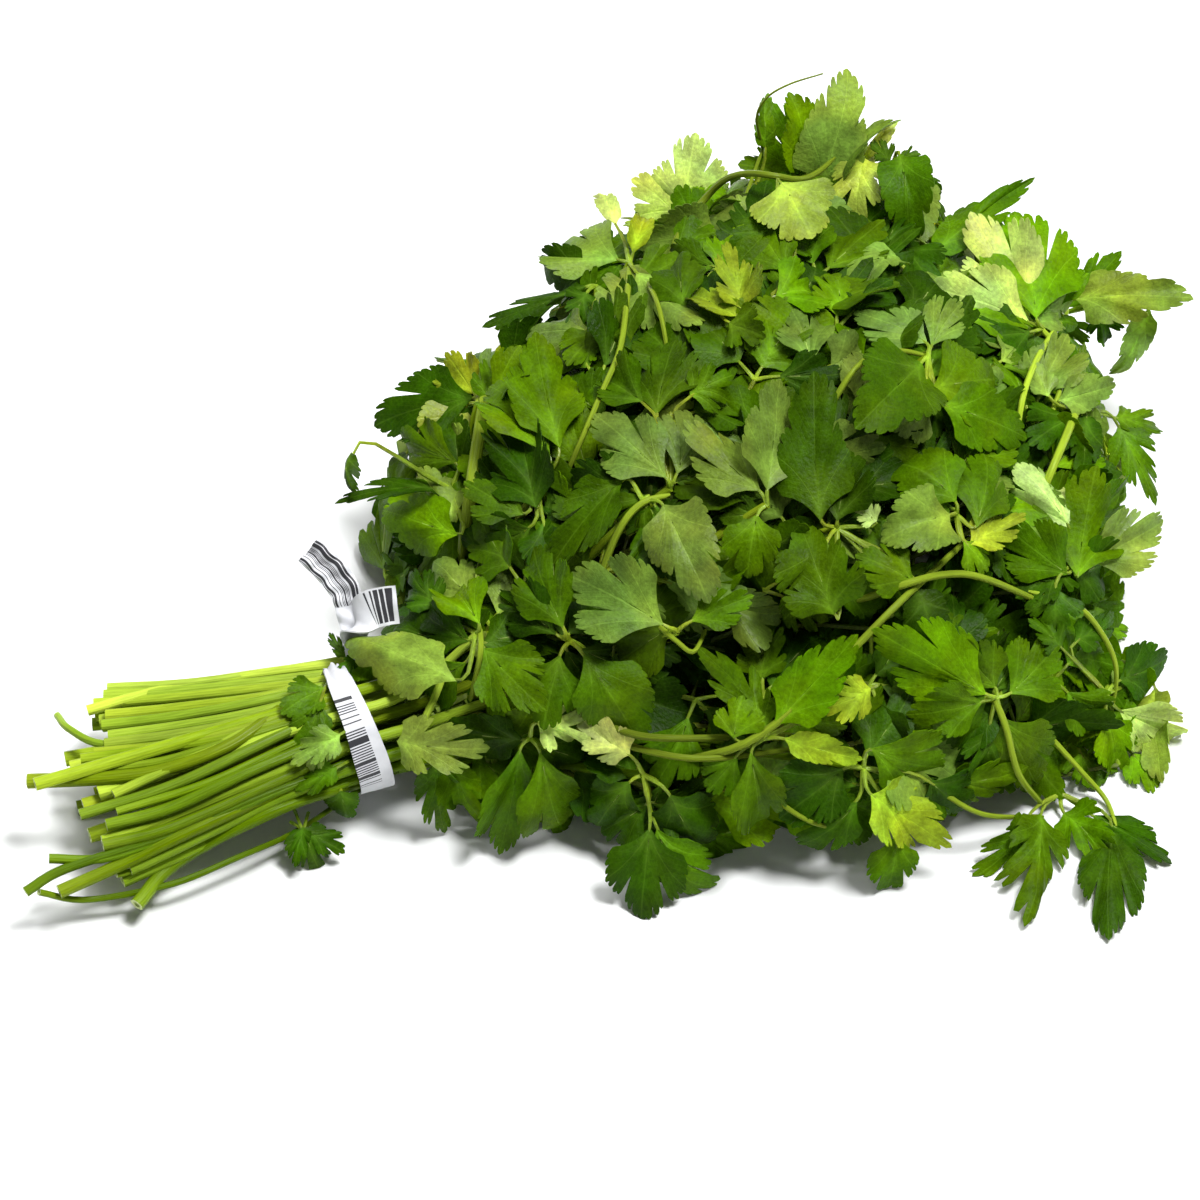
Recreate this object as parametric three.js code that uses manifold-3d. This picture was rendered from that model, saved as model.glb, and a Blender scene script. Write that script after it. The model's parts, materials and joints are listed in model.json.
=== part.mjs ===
// Coriander bunch lying on a flat surface: branching stems, compound leaves and a paper twist tie.
// Millimetres, +Z up. The stems run to the left (-X), the leaves fan out to the right and back.
import * as THREE from 'three';
import { mergeVertices } from 'three/addons/utils/BufferGeometryUtils.js';
import Module from 'manifold-3d';

const wasm = await Module();
wasm.setup();
const { Manifold } = wasm;

// ---- the bunch -----------------------------------------------------------------------------
const DATUM = new THREE.Vector3(-72.7, -73.15, 0);  // the tie's foot, from the middle of the footprint
const TIE_CENTRE = new THREE.Vector3(0, 0, 24);  // the bundle's axis where the tie holds it
const AXIS_HEADING = 20;  // degrees, the bundle's axis at the tie, turned from +X towards +Y
const GAP = 0.3;  // between pieces that touch
const CUTTER_MARGIN = 0.36;  // added all round a piece when it clears its neighbours
const SLIVER = 0.06;  // facets finer than this are joined to the next

// ---- the oblique sheet that places the leaves -------------------------------------------------
// A place is given as [across, up, sink]. The sheet passes through the tie and leans back by
// SHEET_LEAN: across is measured along X, up along the sheet, and sink is how deep the place lies
// under the skin of the heap, square to the sheet. A negative sink stands proud of the skin.
const SHEET_LEAN = 50;
const SHEET_UP = new THREE.Vector3(0, Math.sin(rad(SHEET_LEAN)), Math.cos(rad(SHEET_LEAN)));
const SHEET_OUT = new THREE.Vector3(0, -Math.cos(rad(SHEET_LEAN)), Math.sin(rad(SHEET_LEAN)));

// ---- the heap of leaves --------------------------------------------------------------------
const HEAP_CENTRE = [122, 80];
const HEAP_RADIUS = 128;
const HEAP_HEIGHT = 104;
const HEAP_POWER = 0.6;
const NECK_RADIUS = 19;  // leaves wrap round the bundle just past the tie
const NECK_FLARE = 0.5;  // the neck's radius grows by this much for each millimetre along the axis
const LOWEST_PLACE = 2.5;
const DEPTH_LIMIT = 0.75;  // a blade leans to or from the sheet by at most this share of its length

// ---- stems ---------------------------------------------------------------------------------
const STEM_RADIUS = 2.3;  // at the cut end
const STEM_TIP_RADIUS = 1.3;  // under the leaf
const BRANCH_RADIUS = 1.2;
const STEM_SIDES = 6;
const STEM_STEPS = 5;  // on each side of the tie
const SLOT_ROWS = [2, 4, 5, 5, 4, 2];  // stems in each layer at the tie, from the bottom up
const SLOT_PITCH = 7.3;
const ROW_PITCH = 5.7;
const CUT_CENTRE = new THREE.Vector3(-82, -20, 14.6);  // middle of the cut ends, from the tie's foot
const CUT_SPREAD = 2.1;  // the cut ends lie this much wider apart than at the tie
const CUT_FLATTEN = 0.86;  // and this much closer in height, where the bundle sags to the surface
const CUT_STAGGER = 7;
const LONG_STEM_EXTRA = 20;  // one stem crosses over the others and ends this much further out
const LONG_STEM_RISE = 4.5;

// ---- leaves --------------------------------------------------------------------------------
const BLADE_THICKNESS = 0.6;
const STALK_WIDTH = 1.7;
const HUB_RADIUS = 2.2;
const BLADE_ARCH = 0.07;  // rise of the blade's middle, as a share of its length
const BLADE_CUP = 0.10;  // droop of its margins, as a share of its width

// half outlines as [share of the length, share of the half width]
const FAN_OUTLINE = [[0, 0.10], [0.36, 0.94], [0.58, 0.96], [0.62, 0.68], [0.88, 0.72], [0.82, 0.26],
  [1.0, 0.20]];
const NARROW_OUTLINE = [[0, 0.14], [0.32, 1.0], [0.62, 0.86], [1.0, 0.22]];

// ---- tie -----------------------------------------------------------------------------------
const BAND_WIDTH = 11;
const BAND_THICKNESS = 0.5;
const BAND_INNER_RADIUS = 18.4;
const BAND_SIDES = 30;
const TWIST_RADIUS = 2.0;
const TAIL_WIDTH = 10;

const GREENS = { pale: 0x9fb86a, bright: 0x86b23a, green: 0x5b8f2e, dark: 0x3c6b22 };
const STEM_COLOUR = 0xa9bf5c;
const PAPER_COLOUR = 0xe8e8e4;

// Each leaf: name, colour, [across, up, sink] of its crown, and its leaflets as
// [base across, base up, tip across, tip up, width, roll, sink].
const LEAVES = [
  ['leaf_top_spray', 'pale', [113, 158, 8], [
    [118, 176, 117, 194, 6, 10, -2],
    [118, 152, 102, 156, 14, 0, 2]]],
  ['leaf_rolled', 'green', [128, 166, -4], [
    [132, 168, 127, 187, 18, 30, -6],
    [142, 168, 148, 192, 20, -25, -4],
    [126, 165, 131, 149, 24, 0, -3],
    [150, 172, 148, 158, 15, 20, 0]]],
  ['leaf_pale_top', 'pale', [92, 156, 6], [
    [97, 160, 96, 177, 17, 0, 0],
    [90, 160, 79, 164, 12, 0, 1],
    [106, 150, 82, 148, 16, -15, 1]]],
  ['leaf_spike', 'green', [78, 141, -1], [
    [75, 142, 53, 148, 20, 0, -1],
    [79, 144, 84, 160, 8, 30, 0],
    [80, 138, 97, 118, 20, 0, -1]]],
  ['leaf_lobed_left', 'dark', [68, 134, 8], [
    [66, 137, 51, 139, 12, 0, 3],
    [65, 134, 40, 120, 12, 15, 3],
    [66, 120, 46, 121, 13, 0, 2]]],
  ['leaf_folded_top', 'bright', [106, 128, 7], [
    [112, 126, 108, 144, 14, 20, 0],
    [110, 124, 96, 131, 10, 0, 1],
    [104, 140, 86, 140, 12, 0, 5]]],
  ['leaf_vivid_crown', 'green', [128, 136, 8], [
    [113, 146, 134, 146, 16, 0, 0],
    [122, 130, 137, 134, 18, 0, 2],
    [143, 108, 106, 124, 22, -10, 2]]],
  ['leaf_back_fronds', 'dark', [164, 143, 9], [
    [160, 143, 141, 138, 12, 0, 2],
    [160, 138, 152, 126, 13, 0, 4],
    [169, 146, 193, 163, 10, 20, 2]]],
  ['leaf_drooping_back', 'dark', [158, 168, 4], [
    [160, 171, 164, 151, 16, 20, -1],
    [158, 173, 153, 178, 8, 0, 0],
    [155, 165, 146, 157, 13, 0, 1]]],
  ['leaf_bright_fan', 'bright', [204, 121, 1], [
    [202, 124, 196, 156, 28, 0, -2],
    [200, 123, 173, 134, 20, 0, -1],
    [205, 125, 211, 143, 13, 0, 0]]],
  ['leaf_far_right', 'pale', [212, 127, 0], [
    [215, 130, 246, 130, 12, 25, -1],
    [213, 125, 213, 116, 11, 0, 1],
    [238, 128, 229, 106, 9, 0, 0]]],
  ['leaf_arched', 'pale', [168, 112, -1], [
    [168, 116, 148, 127, 14, 0, -1],
    [169, 115, 176, 125, 11, 0, 0],
    [166, 110, 147, 92, 22, 0, -1],
    [169, 102, 191, 106, 22, 0, -2],
    [172, 97, 199, 89, 15, 0, -1]]],
  ['leaf_hanging_right', 'dark', [214, 96, 5], [
    [217, 95, 215, 75, 9, 10, 1],
    [226, 94, 239, 91, 8, 0, 2],
    [227, 92, 236, 70, 12, 0, 2],
    [208, 99, 222, 103, 10, 0, 2]]],
  ['leaf_right_cluster', 'green', [212, 50, 3], [
    [213, 45, 216, 72, 24, 0, -1],
    [216, 50, 233, 60, 17, 0, 1],
    [211, 60, 197, 79, 13, 0, 1]]],
  ['leaf_middle_fans', 'green', [176, 64, 6], [
    [182, 60, 187, 84, 17, 0, 1],
    [176, 68, 159, 84, 17, 0, 1],
    [174, 64, 155, 57, 17, 0, 0],
    [180, 55, 195, 63, 11, 0, 2]]],
  ['leaf_long_dark', 'dark', [140, 60, 7], [
    [135, 62, 131, 96, 18, 0, 2],
    [137, 56, 128, 34, 18, 0, 2],
    [163, 44, 147, 52, 14, 0, 1]]],
  ['leaf_grey_middle', 'pale', [119, 67, 2], [
    [119, 71, 122, 101, 20, 0, -1],
    [117, 71, 97, 86, 15, 0, 0],
    [116, 64, 113, 46, 14, 0, 2]]],
  ['leaf_grey_upper', 'pale', [90, 72, 4], [
    [89, 75, 71, 91, 17, 0, 0],
    [92, 76, 98, 96, 15, 0, 1],
    [86, 94, 91, 115, 19, 0, 4]]],
  ['leaf_curved_middle', 'green', [82, 68, 2], [
    [88, 67, 99, 41, 16, 0, -2],
    [76, 75, 57, 52, 18, 0, -1]]],
  ['leaf_pale_fan', 'pale', [92, 29, 3], [
    [88, 31, 64, 44, 22, 0, -2],
    [96, 32, 113, 39, 10, 0, 1]]],
  ['leaf_olive_middle', 'green', [60, 26, 6], [
    [58, 30, 50, 52, 16, 0, 0],
    [57, 22, 52, 3, 14, 0, 1],
    [64, 22, 81, -5, 18, 0, 0]]],
  ['leaf_near_tie', 'pale', [32, 28, 3], [
    [33, 31, 20, 46, 13, 0, -1],
    [28, 22, 3, 18, 17, 0, -1],
    [34, 24, 50, 8, 18, 0, 1]]],
  ['leaf_thick_stalk', 'dark', [32, 98, 0], [
    [31, 100, 8, 93, 19, 0, 1],
    [29, 96, 26, 84, 13, 0, 2],
    [36, 98, 54, 110, 18, 0, 0]]],
  ['leaf_left_droop', 'green', [24, 72, 4], [
    [26, 80, 8, 88, 13, 0, 1],
    [20, 72, -7, 69, 9, 0, 1],
    [26, 58, 4, 66, 14, 0, 1]]],
  ['leaf_dark_middle', 'dark', [50, 72, 7], [
    [54, 82, 37, 103, 18, 0, 1],
    [50, 66, 46, 92, 20, 0, 3],
    [46, 64, 34, 70, 14, 0, 2]]],
  ['leaf_front_of_tie', 'pale', [12, -5, 1], [
    [14, -6, 40, -7, 14, 0, -1],
    [20, -10, 22, -31, 12, 0, 1]]],
  ['leaf_front_cluster', 'green', [48, -3, 4], [
    [45, -6, 40, -33, 16, 0, 0],
    [51, -7, 57, -35, 16, 0, 0]]],
  ['leaf_front_hanging', 'dark', [82, -14, 5], [
    [84, -28, 82, -57, 15, 0, 0],
    [90, -20, 100, -42, 16, 0, 0],
    [78, -8, 63, 2, 11, 0, 0]]],
  ['leaf_front_bright', 'bright', [118, -3, 3], [
    [109, -3, 111, 9, 12, 0, 0],
    [114, -7, 119, -33, 14, 0, 0],
    [121, 1, 143, 25, 14, 0, -1],
    [124, -3, 146, -9, 8, 0, 0]]],
  ['leaf_front_right', 'bright', [148, -12, 5], [
    [150, -6, 171, -14, 18, 0, 1],
    [150, -20, 171, -33, 16, 0, -1],
    [146, -22, 130, -38, 14, 0, 1]]],
  ['leaf_right_middle', 'green', [188, 9, 2], [
    [185, 10, 154, 28, 20, 0, 0],
    [192, 10, 206, 24, 18, 0, 1],
    [190, 3, 201, -18, 18, 0, 1]]],
  ['leaf_hanging_front', 'dark', [208, -20, 4], [
    [202, -26, 196, -56, 14, 0, 0],
    [209, -26, 224, -42, 12, 0, 0],
    [224, -30, 222, -60, 16, 0, 0]]],
  ['leaf_right_edge', 'green', [222, 10, 3], [
    [226, 5, 245, -4, 15, 0, 0],
    [222, 4, 226, -14, 13, 0, 0],
    [226, 14, 240, 20, 14, 0, 3]]],
];

// leaves behind and below the heap, as [x, y, z] from the tie's foot
const HIDDEN_LEAVES = [
  ['leaf_under', 'dark', [122, 64, 6], [
    [124, 54, 0.3, 146, 22, 0.3, 22, 0],
    [132, 70, 0.3, 168, 84, 0.3, 20, 0],
    [112, 70, 0.3, 84, 96, 0.3, 20, 0]]],
  ['leaf_back_left', 'green', [46, 146, 20], [
    [38, 152, 16, 18, 168, 0.3, 18, 0],
    [48, 158, 18, 52, 186, 0.3, 20, 0],
    [56, 152, 20, 82, 184, 3, 20, 0]]],
  ['leaf_back_right', 'green', [182, 168, 24], [
    [176, 176, 22, 158, 202, 3, 20, 0],
    [186, 178, 20, 194, 206, 0.3, 20, 0],
    [192, 170, 20, 222, 182, 0.3, 20, 0]]],
];
const FLAT_LEAF = 'leaf_under';  // its blades lie flat on the surface

// a branching stem carries a second leaf on a side branch: that leaf, then the stem's own leaf
const BRANCHES = new Map([
  ['leaf_lobed_left', 'leaf_spike'],
  ['leaf_top_spray', 'leaf_rolled'],
  ['leaf_vivid_crown', 'leaf_folded_top'],
  ['leaf_drooping_back', 'leaf_back_fronds'],
  ['leaf_hanging_right', 'leaf_far_right'],
  ['leaf_long_dark', 'leaf_grey_middle'],
  ['leaf_curved_middle', 'leaf_grey_upper'],
  ['leaf_left_droop', 'leaf_thick_stalk'],
  ['leaf_hanging_front', 'leaf_right_middle'],
  ['leaf_front_right', 'leaf_front_bright'],
  ['leaf_front_of_tie', 'leaf_near_tie'],
  ['leaf_front_cluster', 'leaf_front_hanging'],
  ['leaf_olive_middle', 'leaf_pale_fan'],
  ['leaf_back_left', 'leaf_dark_middle'],
]);
const BRANCH_START = 0.62;  // share of the outer stem where the branch leaves it

function rad(degrees) {
  return degrees * Math.PI / 180;
}

// ---- solids ----------------------------------------------------------------------------------

/** A manifold solid from a geometry, with its doubled corners joined. */
function toSolid(geometry) {
  const bare = geometry.clone();
  bare.deleteAttribute('normal');
  bare.deleteAttribute('uv');
  const merged = mergeVertices(bare, 1e-4);
  return new Manifold(new wasm.Mesh({
    numProp: 3,
    vertProperties: new Float32Array(merged.attributes.position.array),
    triVerts: new Uint32Array(merged.index.array),
  }));
}

/** A geometry from a manifold solid. */
function toGeometry(solid) {
  const mesh = solid.getMesh();
  const geometry = new THREE.BufferGeometry();
  const corners = new Float32Array(mesh.triVerts.length * 3);
  for (let i = 0; i < mesh.triVerts.length; i += 1) {
    const from = mesh.triVerts[i] * mesh.numProp;
    corners.set(mesh.vertProperties.subarray(from, from + 3), i * 3);
  }
  geometry.setAttribute('position', new THREE.BufferAttribute(corners, 3));
  geometry.computeVertexNormals();
  return geometry;
}

/** Moves every corner of a geometry to where place(x, y, z) says. */
function bend(geometry, place) {
  const position = geometry.attributes.position;
  for (let i = 0; i < position.count; i += 1) {
    const moved = place(position.getX(i), position.getY(i), position.getZ(i));
    position.setXYZ(i, moved.x, moved.y, moved.z);
  }
  return geometry;
}

/** A ring of points for a section with this many sides and a radius of 1. */
function roundSection(sides) {
  const points = [];
  for (let i = 0; i < sides; i += 1) {
    const turn = 2 * Math.PI * (i + 0.5) / sides;
    points.push(new THREE.Vector2(Math.cos(turn), Math.sin(turn)));
  }
  return new THREE.Shape(points);
}

/** A section extruded in steps and laid along a curve, scaled by radiusAt(share of the length). */
function sweep(section, steps, curve, radiusAt, reference) {
  const bar = new THREE.ExtrudeGeometry(section, { depth: 1, steps, bevelEnabled: false });
  return bend(bar, (x, y, z) => {
    const share = Math.min(1, Math.max(0, z));
    const along = curve.getTangent(share);
    const side = new THREE.Vector3().crossVectors(reference, along).normalize();
    const up = new THREE.Vector3().crossVectors(along, side);
    const radius = radiusAt(share);
    return curve.getPoint(share).addScaledVector(side, x * radius).addScaledVector(up, y * radius);
  });
}

// ---- places in the heap ------------------------------------------------------------------------

/** A point on the oblique sheet, out millimetres in front of it. */
function sheetPoint(across, up, out) {
  return new THREE.Vector3(across, 0, TIE_CENTRE.z)
    .addScaledVector(SHEET_UP, up)
    .addScaledVector(SHEET_OUT, out);
}

/** Height of the heap's skin over a spot of the surface. */
function skinHeight(x, y) {
  const dx = (x - HEAP_CENTRE[0]) / HEAP_RADIUS;
  const dy = (y - HEAP_CENTRE[1]) / HEAP_RADIUS;
  const inside = 1 - dx * dx - dy * dy;
  const dome = inside > 0 ? HEAP_HEIGHT * inside ** HEAP_POWER : 0;
  const heading = rad(AXIS_HEADING);
  const along = x * Math.cos(heading) + y * Math.sin(heading);
  const beside = y * Math.cos(heading) - x * Math.sin(heading);
  const radius = NECK_RADIUS + NECK_FLARE * Math.min(Math.max(along, 0), 90);
  const chord = radius * radius - beside * beside;
  const neck = along > -12 && along < 90 && chord > 0 ? TIE_CENTRE.z + Math.sqrt(chord) : 0;
  return Math.max(dome, neck);
}

/** How far in front of the sheet the skin lies at a place, or passes nearest to it. */
function skinOut(across, up) {
  let nearest = Infinity;
  let nearestOut = 0;
  for (let out = 130; out > -190; out -= 0.5) {
    const point = sheetPoint(across, up, out);
    const skin = skinHeight(point.x, point.y);
    const clearance = point.z - skin;
    if (clearance <= 0 && (skin > 0 || point.y < HEAP_CENTRE[1])) {
      return out;
    }
    if (clearance < nearest && skin > 0) {
      nearest = clearance;
      nearestOut = out;
    }
  }
  return nearestOut;
}

/** A place [across, up, sink], kept above the surface. */
function heapPlace(across, up, sink) {
  const out = skinOut(across, up) - sink;
  const lowestOut = (LOWEST_PLACE - sheetPoint(across, up, 0).z) / SHEET_OUT.z;
  return sheetPoint(across, up, Math.max(out, lowestOut));
}

/** Which way the skin faces at a point, turned part of the way to the sheet's own facing. */
function facing(point) {
  const step = 4;
  const slopeX = skinHeight(point.x + step, point.y) - skinHeight(point.x - step, point.y);
  const slopeY = skinHeight(point.x, point.y + step) - skinHeight(point.x, point.y - step);
  return new THREE.Vector3(-slopeX, -slopeY, 2 * step).normalize().add(SHEET_OUT).normalize();
}

/** The tip of a blade, which leans no further from the sheet than DEPTH_LIMIT allows. */
function bladeTip(base, across, up, sink) {
  const tip = heapPlace(across, up, sink);
  const reach = Math.hypot(across - base.x, up - base.clone().sub(TIE_CENTRE).dot(SHEET_UP));
  const lean = tip.clone().sub(base).dot(SHEET_OUT);
  const allowed = THREE.MathUtils.clamp(lean, -DEPTH_LIMIT * reach, DEPTH_LIMIT * reach);
  tip.addScaledVector(SHEET_OUT, allowed - lean);
  if (tip.z < LOWEST_PLACE) {
    tip.addScaledVector(SHEET_OUT, (LOWEST_PLACE - tip.z) / SHEET_OUT.z);
  }
  return tip;
}

/** Every leaf with its places worked out. */
function resolveLeaves() {
  const placed = LEAVES.map(([name, colour, crown, rows]) => ({
    name,
    colour,
    crown: heapPlace(...crown),
    blades: rows.map(([baseX, baseUp, tipX, tipUp, width, roll, sink]) => {
      const base = heapPlace(baseX, baseUp, sink);
      const tip = bladeTip(base, tipX, tipUp, sink);
      return { base, tip, width, roll, facing: facing(base) };
    }),
  }));
  const hidden = HIDDEN_LEAVES.map(([name, colour, crown, rows]) => ({
    name,
    colour,
    crown: new THREE.Vector3(...crown),
    blades: rows.map(([x, y, z, tipX, tipY, tipZ, width, roll]) => {
      const base = new THREE.Vector3(x, y, z);
      const tip = new THREE.Vector3(tipX, tipY, tipZ);
      return { base, tip, width, roll, facing: new THREE.Vector3(0, 0, 1) };
    }),
  }));
  return [...placed, ...hidden];
}

// ---- leaves --------------------------------------------------------------------------------

/** A stalk of square section between two points, grown by margin all round. */
function stalkSolid(from, to, margin) {
  const path = new THREE.LineCurve3(from, to);
  const half = STALK_WIDTH / Math.SQRT2 + margin * Math.SQRT2;
  const reference = new THREE.Vector3(0.03, -0.05, 1);
  return toSolid(sweep(roundSection(4), 1, path, () => half, reference));
}

/** The hub where the stalks of a leaf meet the stem, grown by margin. */
function hubSolid(crown, margin) {
  const ball = new THREE.IcosahedronGeometry(HUB_RADIUS + margin, 0);
  ball.translate(crown.x, crown.y, crown.z);
  return toSolid(ball);
}

/** A blade: its outline extruded, arched along the middle and drooping at the margins. */
function bladeSolid(blade, flat, margin) {
  const along = blade.tip.clone().sub(blade.base);
  const length = along.length();
  along.normalize();
  const side = new THREE.Vector3().crossVectors(blade.facing, along).normalize();
  side.applyAxisAngle(along, rad(blade.roll));
  const normal = new THREE.Vector3().crossVectors(along, side);
  const profile = blade.width > 0.42 * length ? FAN_OUTLINE : NARROW_OUTLINE;
  const half = blade.width / 2 + margin;
  const right = profile.map(([s, t]) => new THREE.Vector2(s, t * half));
  const left = profile.map(([s, t]) => new THREE.Vector2(s, -t * half)).reverse();
  const thickness = BLADE_THICKNESS + 2 * margin;
  const plate = new THREE.ExtrudeGeometry(new THREE.Shape([...left, ...right]), {
    depth: thickness,
    bevelEnabled: false,
  });
  const arch = flat ? 0 : BLADE_ARCH * length;
  const cup = flat ? 0 : BLADE_CUP * blade.width;
  return toSolid(bend(plate, (s, t, z) => {
    const layer = z - thickness / 2;
    const rise = arch * 4 * s * (1 - s) - cup * (t / half) ** 2;
    const reach = -margin + s * (length + 2 * margin);
    const point = blade.base.clone()
      .addScaledVector(along, reach)
      .addScaledVector(side, t)
      .addScaledVector(normal, rise + layer);
    const lift = Math.sign(normal.z) * layer + BLADE_THICKNESS / 2;
    point.z = Math.max(point.z, margin > 0 ? lift - margin : lift);
    return point;
  }));
}

/** A leaf's stalks and hub, grown by margin. */
function coreSolid(leaf, margin) {
  return leaf.blades.reduce((core, blade) => {
    const end = blade.tip.clone().sub(blade.base).setLength(2).add(blade.base);
    end.z = Math.max(end.z, STALK_WIDTH / 2 + 0.05);
    return core.add(stalkSolid(leaf.crown, end, margin));
  }, hubSolid(leaf.crown, margin));
}

/** All blades of a leaf, grown by margin. */
function bladesSolid(leaf, margin) {
  const flat = leaf.name === FLAT_LEAF;
  return leaf.blades
    .map((blade) => bladeSolid(blade, flat, margin))
    .reduce((sum, blade) => sum.add(blade));
}

/** A solid less every cutter whose box meets its own. */
function clearOf(solid, cutters) {
  const box = solid.boundingBox();
  return cutters.reduce((rest, cutter) => {
    const other = cutter.boundingBox();
    const apart = [0, 1, 2].some((i) => box.min[i] > other.max[i] || other.min[i] > box.max[i]);
    return apart ? rest : rest.subtract(cutter);
  }, solid);
}

/** The part of a cut solid that still holds the most material, without slivers. */
function largestPiece(solid) {
  const pieces = solid.decompose();
  const best = pieces.reduce((kept, piece) => (piece.volume() > kept.volume() ? piece : kept));
  return best.asOriginal().simplify(SLIVER);
}

// ---- stems -----------------------------------------------------------------------------------

const heading = rad(AXIS_HEADING);
const AXIS = new THREE.Vector3(Math.cos(heading), Math.sin(heading), 0);
const ACROSS_BUNDLE = new THREE.Vector3(-Math.sin(heading), Math.cos(heading), 0);
const UPWARDS = new THREE.Vector3(0, 0, 1);

/** The places of the stems in the tie, from the lowest layer up, each as [across, height]. */
function tieSlots() {
  return SLOT_ROWS.map((count, row) => {
    const height = (row - (SLOT_ROWS.length - 1) / 2) * ROW_PITCH;
    return Array.from({ length: count }, (_, i) => [(i - (count - 1) / 2) * SLOT_PITCH, height]);
  });
}

/** Gives each stem a slot, so that stems that lead higher or further back start there too. */
function assignSlots(crowns) {
  const bearing = (crown) => {
    const away = crown.clone().sub(TIE_CENTRE);
    const level = Math.hypot(away.dot(AXIS) + 20, away.dot(ACROSS_BUNDLE));
    return {
      rise: Math.atan2(away.z, level),
      turn: Math.atan2(away.dot(ACROSS_BUNDLE), away.dot(AXIS) + 20),
    };
  };
  const byRise = crowns.map((crown, index) => ({ index, ...bearing(crown) }));
  byRise.sort((a, b) => a.rise - b.rise);
  const slots = new Array(crowns.length);
  let taken = 0;
  tieSlots().forEach((row) => {
    const layer = byRise.slice(taken, taken + row.length);
    layer.sort((a, b) => a.turn - b.turn);
    layer.forEach(({ index }, i) => {
      slots[index] = row[i];
    });
    taken += row.length;
  });
  return slots;
}

/** The line of a stem from its cut end through its slot in the tie to the hub of its leaf. */
function stemCurve(slot, leaf, index) {
  const [across, height] = slot;
  const held = TIE_CENTRE.clone()
    .addScaledVector(ACROSS_BUNDLE, across)
    .addScaledVector(UPWARDS, height);
  const cutAxis = CUT_CENTRE.clone().setZ(0).normalize().negate();
  const cutAcross = new THREE.Vector3(-cutAxis.y, cutAxis.x, 0);
  const crossesOver = height > SLOT_ROWS.length / 2 * ROW_PITCH - ROW_PITCH && across > 0;
  const stagger = crossesOver ? -LONG_STEM_EXTRA : CUT_STAGGER * Math.sin(index * 2.4);
  const cut = CUT_CENTRE.clone()
    .addScaledVector(cutAxis, stagger)
    .addScaledVector(cutAcross, across * (crossesOver ? -1 : CUT_SPREAD))
    .addScaledVector(UPWARDS, height * CUT_FLATTEN + (crossesOver ? LONG_STEM_RISE : 0));
  const inner = new THREE.CubicBezierCurve3(
    cut,
    cut.clone().lerp(held, 0.35),
    held.clone().addScaledVector(AXIS, -28),
    held,
  );
  const reach = leaf.crown.distanceTo(held);
  const approach = leaf.crown.clone().sub(held).normalize()
    .addScaledVector(facing(leaf.crown), 0.35).normalize();
  const end = leaf.crown.clone().addScaledVector(approach, -(HUB_RADIUS + GAP));
  const outer = new THREE.CubicBezierCurve3(
    held,
    held.clone().addScaledVector(AXIS, 0.4 * reach),
    end.clone().addScaledVector(approach, -0.25 * reach),
    end,
  );
  const whole = new THREE.CurvePath();
  whole.add(inner);
  whole.add(outer);
  return { whole, outer };
}

/** A stem of round section that grows thinner towards the leaf. */
function stemSolid(curve, margin) {
  const radius = (share) => THREE.MathUtils.lerp(STEM_RADIUS, STEM_TIP_RADIUS, share) + margin;
  return toSolid(sweep(roundSection(STEM_SIDES), 2 * STEM_STEPS, curve, radius, UPWARDS));
}

/** A side branch from a point on the outer stem to the hub of another leaf. */
function branchSolid(outer, leaf, margin) {
  const from = outer.getPoint(BRANCH_START);
  const approach = leaf.crown.clone().sub(from).normalize();
  const end = leaf.crown.clone().addScaledVector(approach, -(HUB_RADIUS + GAP));
  const path = new THREE.QuadraticBezierCurve3(
    from,
    from.clone().lerp(end, 0.4).addScaledVector(outer.getTangent(BRANCH_START), 6),
    end,
  );
  const radius = () => BRANCH_RADIUS + margin;
  return toSolid(sweep(roundSection(5), 4, path, radius, UPWARDS));
}

// ---- tie -----------------------------------------------------------------------------------

/** The paper tie: a band round the stems, its ends twisted together, and two free tails. */
function tieSolid() {
  const ring = new THREE.Shape().absarc(0, 0, BAND_INNER_RADIUS + BAND_THICKNESS, 0, 2 * Math.PI);
  ring.holes.push(new THREE.Path().absarc(0, 0, BAND_INNER_RADIUS, 0, 2 * Math.PI));
  const band = new THREE.ExtrudeGeometry(ring, {
    depth: BAND_WIDTH,
    bevelEnabled: false,
    curveSegments: BAND_SIDES,
  });
  bend(band, (x, y, z) => TIE_CENTRE.clone()
    .addScaledVector(AXIS, z - BAND_WIDTH / 2)
    .addScaledVector(ACROSS_BUNDLE, x)
    .addScaledVector(UPWARDS, y));
  const outermost = BAND_INNER_RADIUS + BAND_THICKNESS / 2;
  const root = TIE_CENTRE.clone()
    .addScaledVector(ACROSS_BUNDLE, 0.746 * outermost)
    .addScaledVector(UPWARDS, 0.666 * outermost);
  const out = root.clone().sub(TIE_CENTRE).normalize();
  const neck = root.clone().addScaledVector(out, 4.5);
  const twist = sweep(roundSection(6), 1, new THREE.LineCurve3(root, neck), () => TWIST_RADIUS, AXIS);
  const strip = new THREE.Shape([
    new THREE.Vector2(-TAIL_WIDTH / 2, -BAND_THICKNESS / 2),
    new THREE.Vector2(TAIL_WIDTH / 2, -BAND_THICKNESS / 2),
    new THREE.Vector2(TAIL_WIDTH / 2, BAND_THICKNESS / 2),
    new THREE.Vector2(-TAIL_WIDTH / 2, BAND_THICKNESS / 2),
  ]);
  const tails = [
    [sheetPoint(0, 33, 5), sheetPoint(4, 36, 7), sheetPoint(8, 38, 8)],
    [sheetPoint(-5, 36, 2), sheetPoint(-6, 46, 3), sheetPoint(-20, 54, 1)],
  ].map(([first, second, last]) => {
    const path = new THREE.CubicBezierCurve3(neck.clone().addScaledVector(out, -1), first, second, last);
    return toSolid(sweep(strip, 8, path, () => 1, SHEET_OUT));
  });
  return tails.reduce((tie, tail) => tie.add(tail), toSolid(band).add(toSolid(twist)));
}

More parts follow.
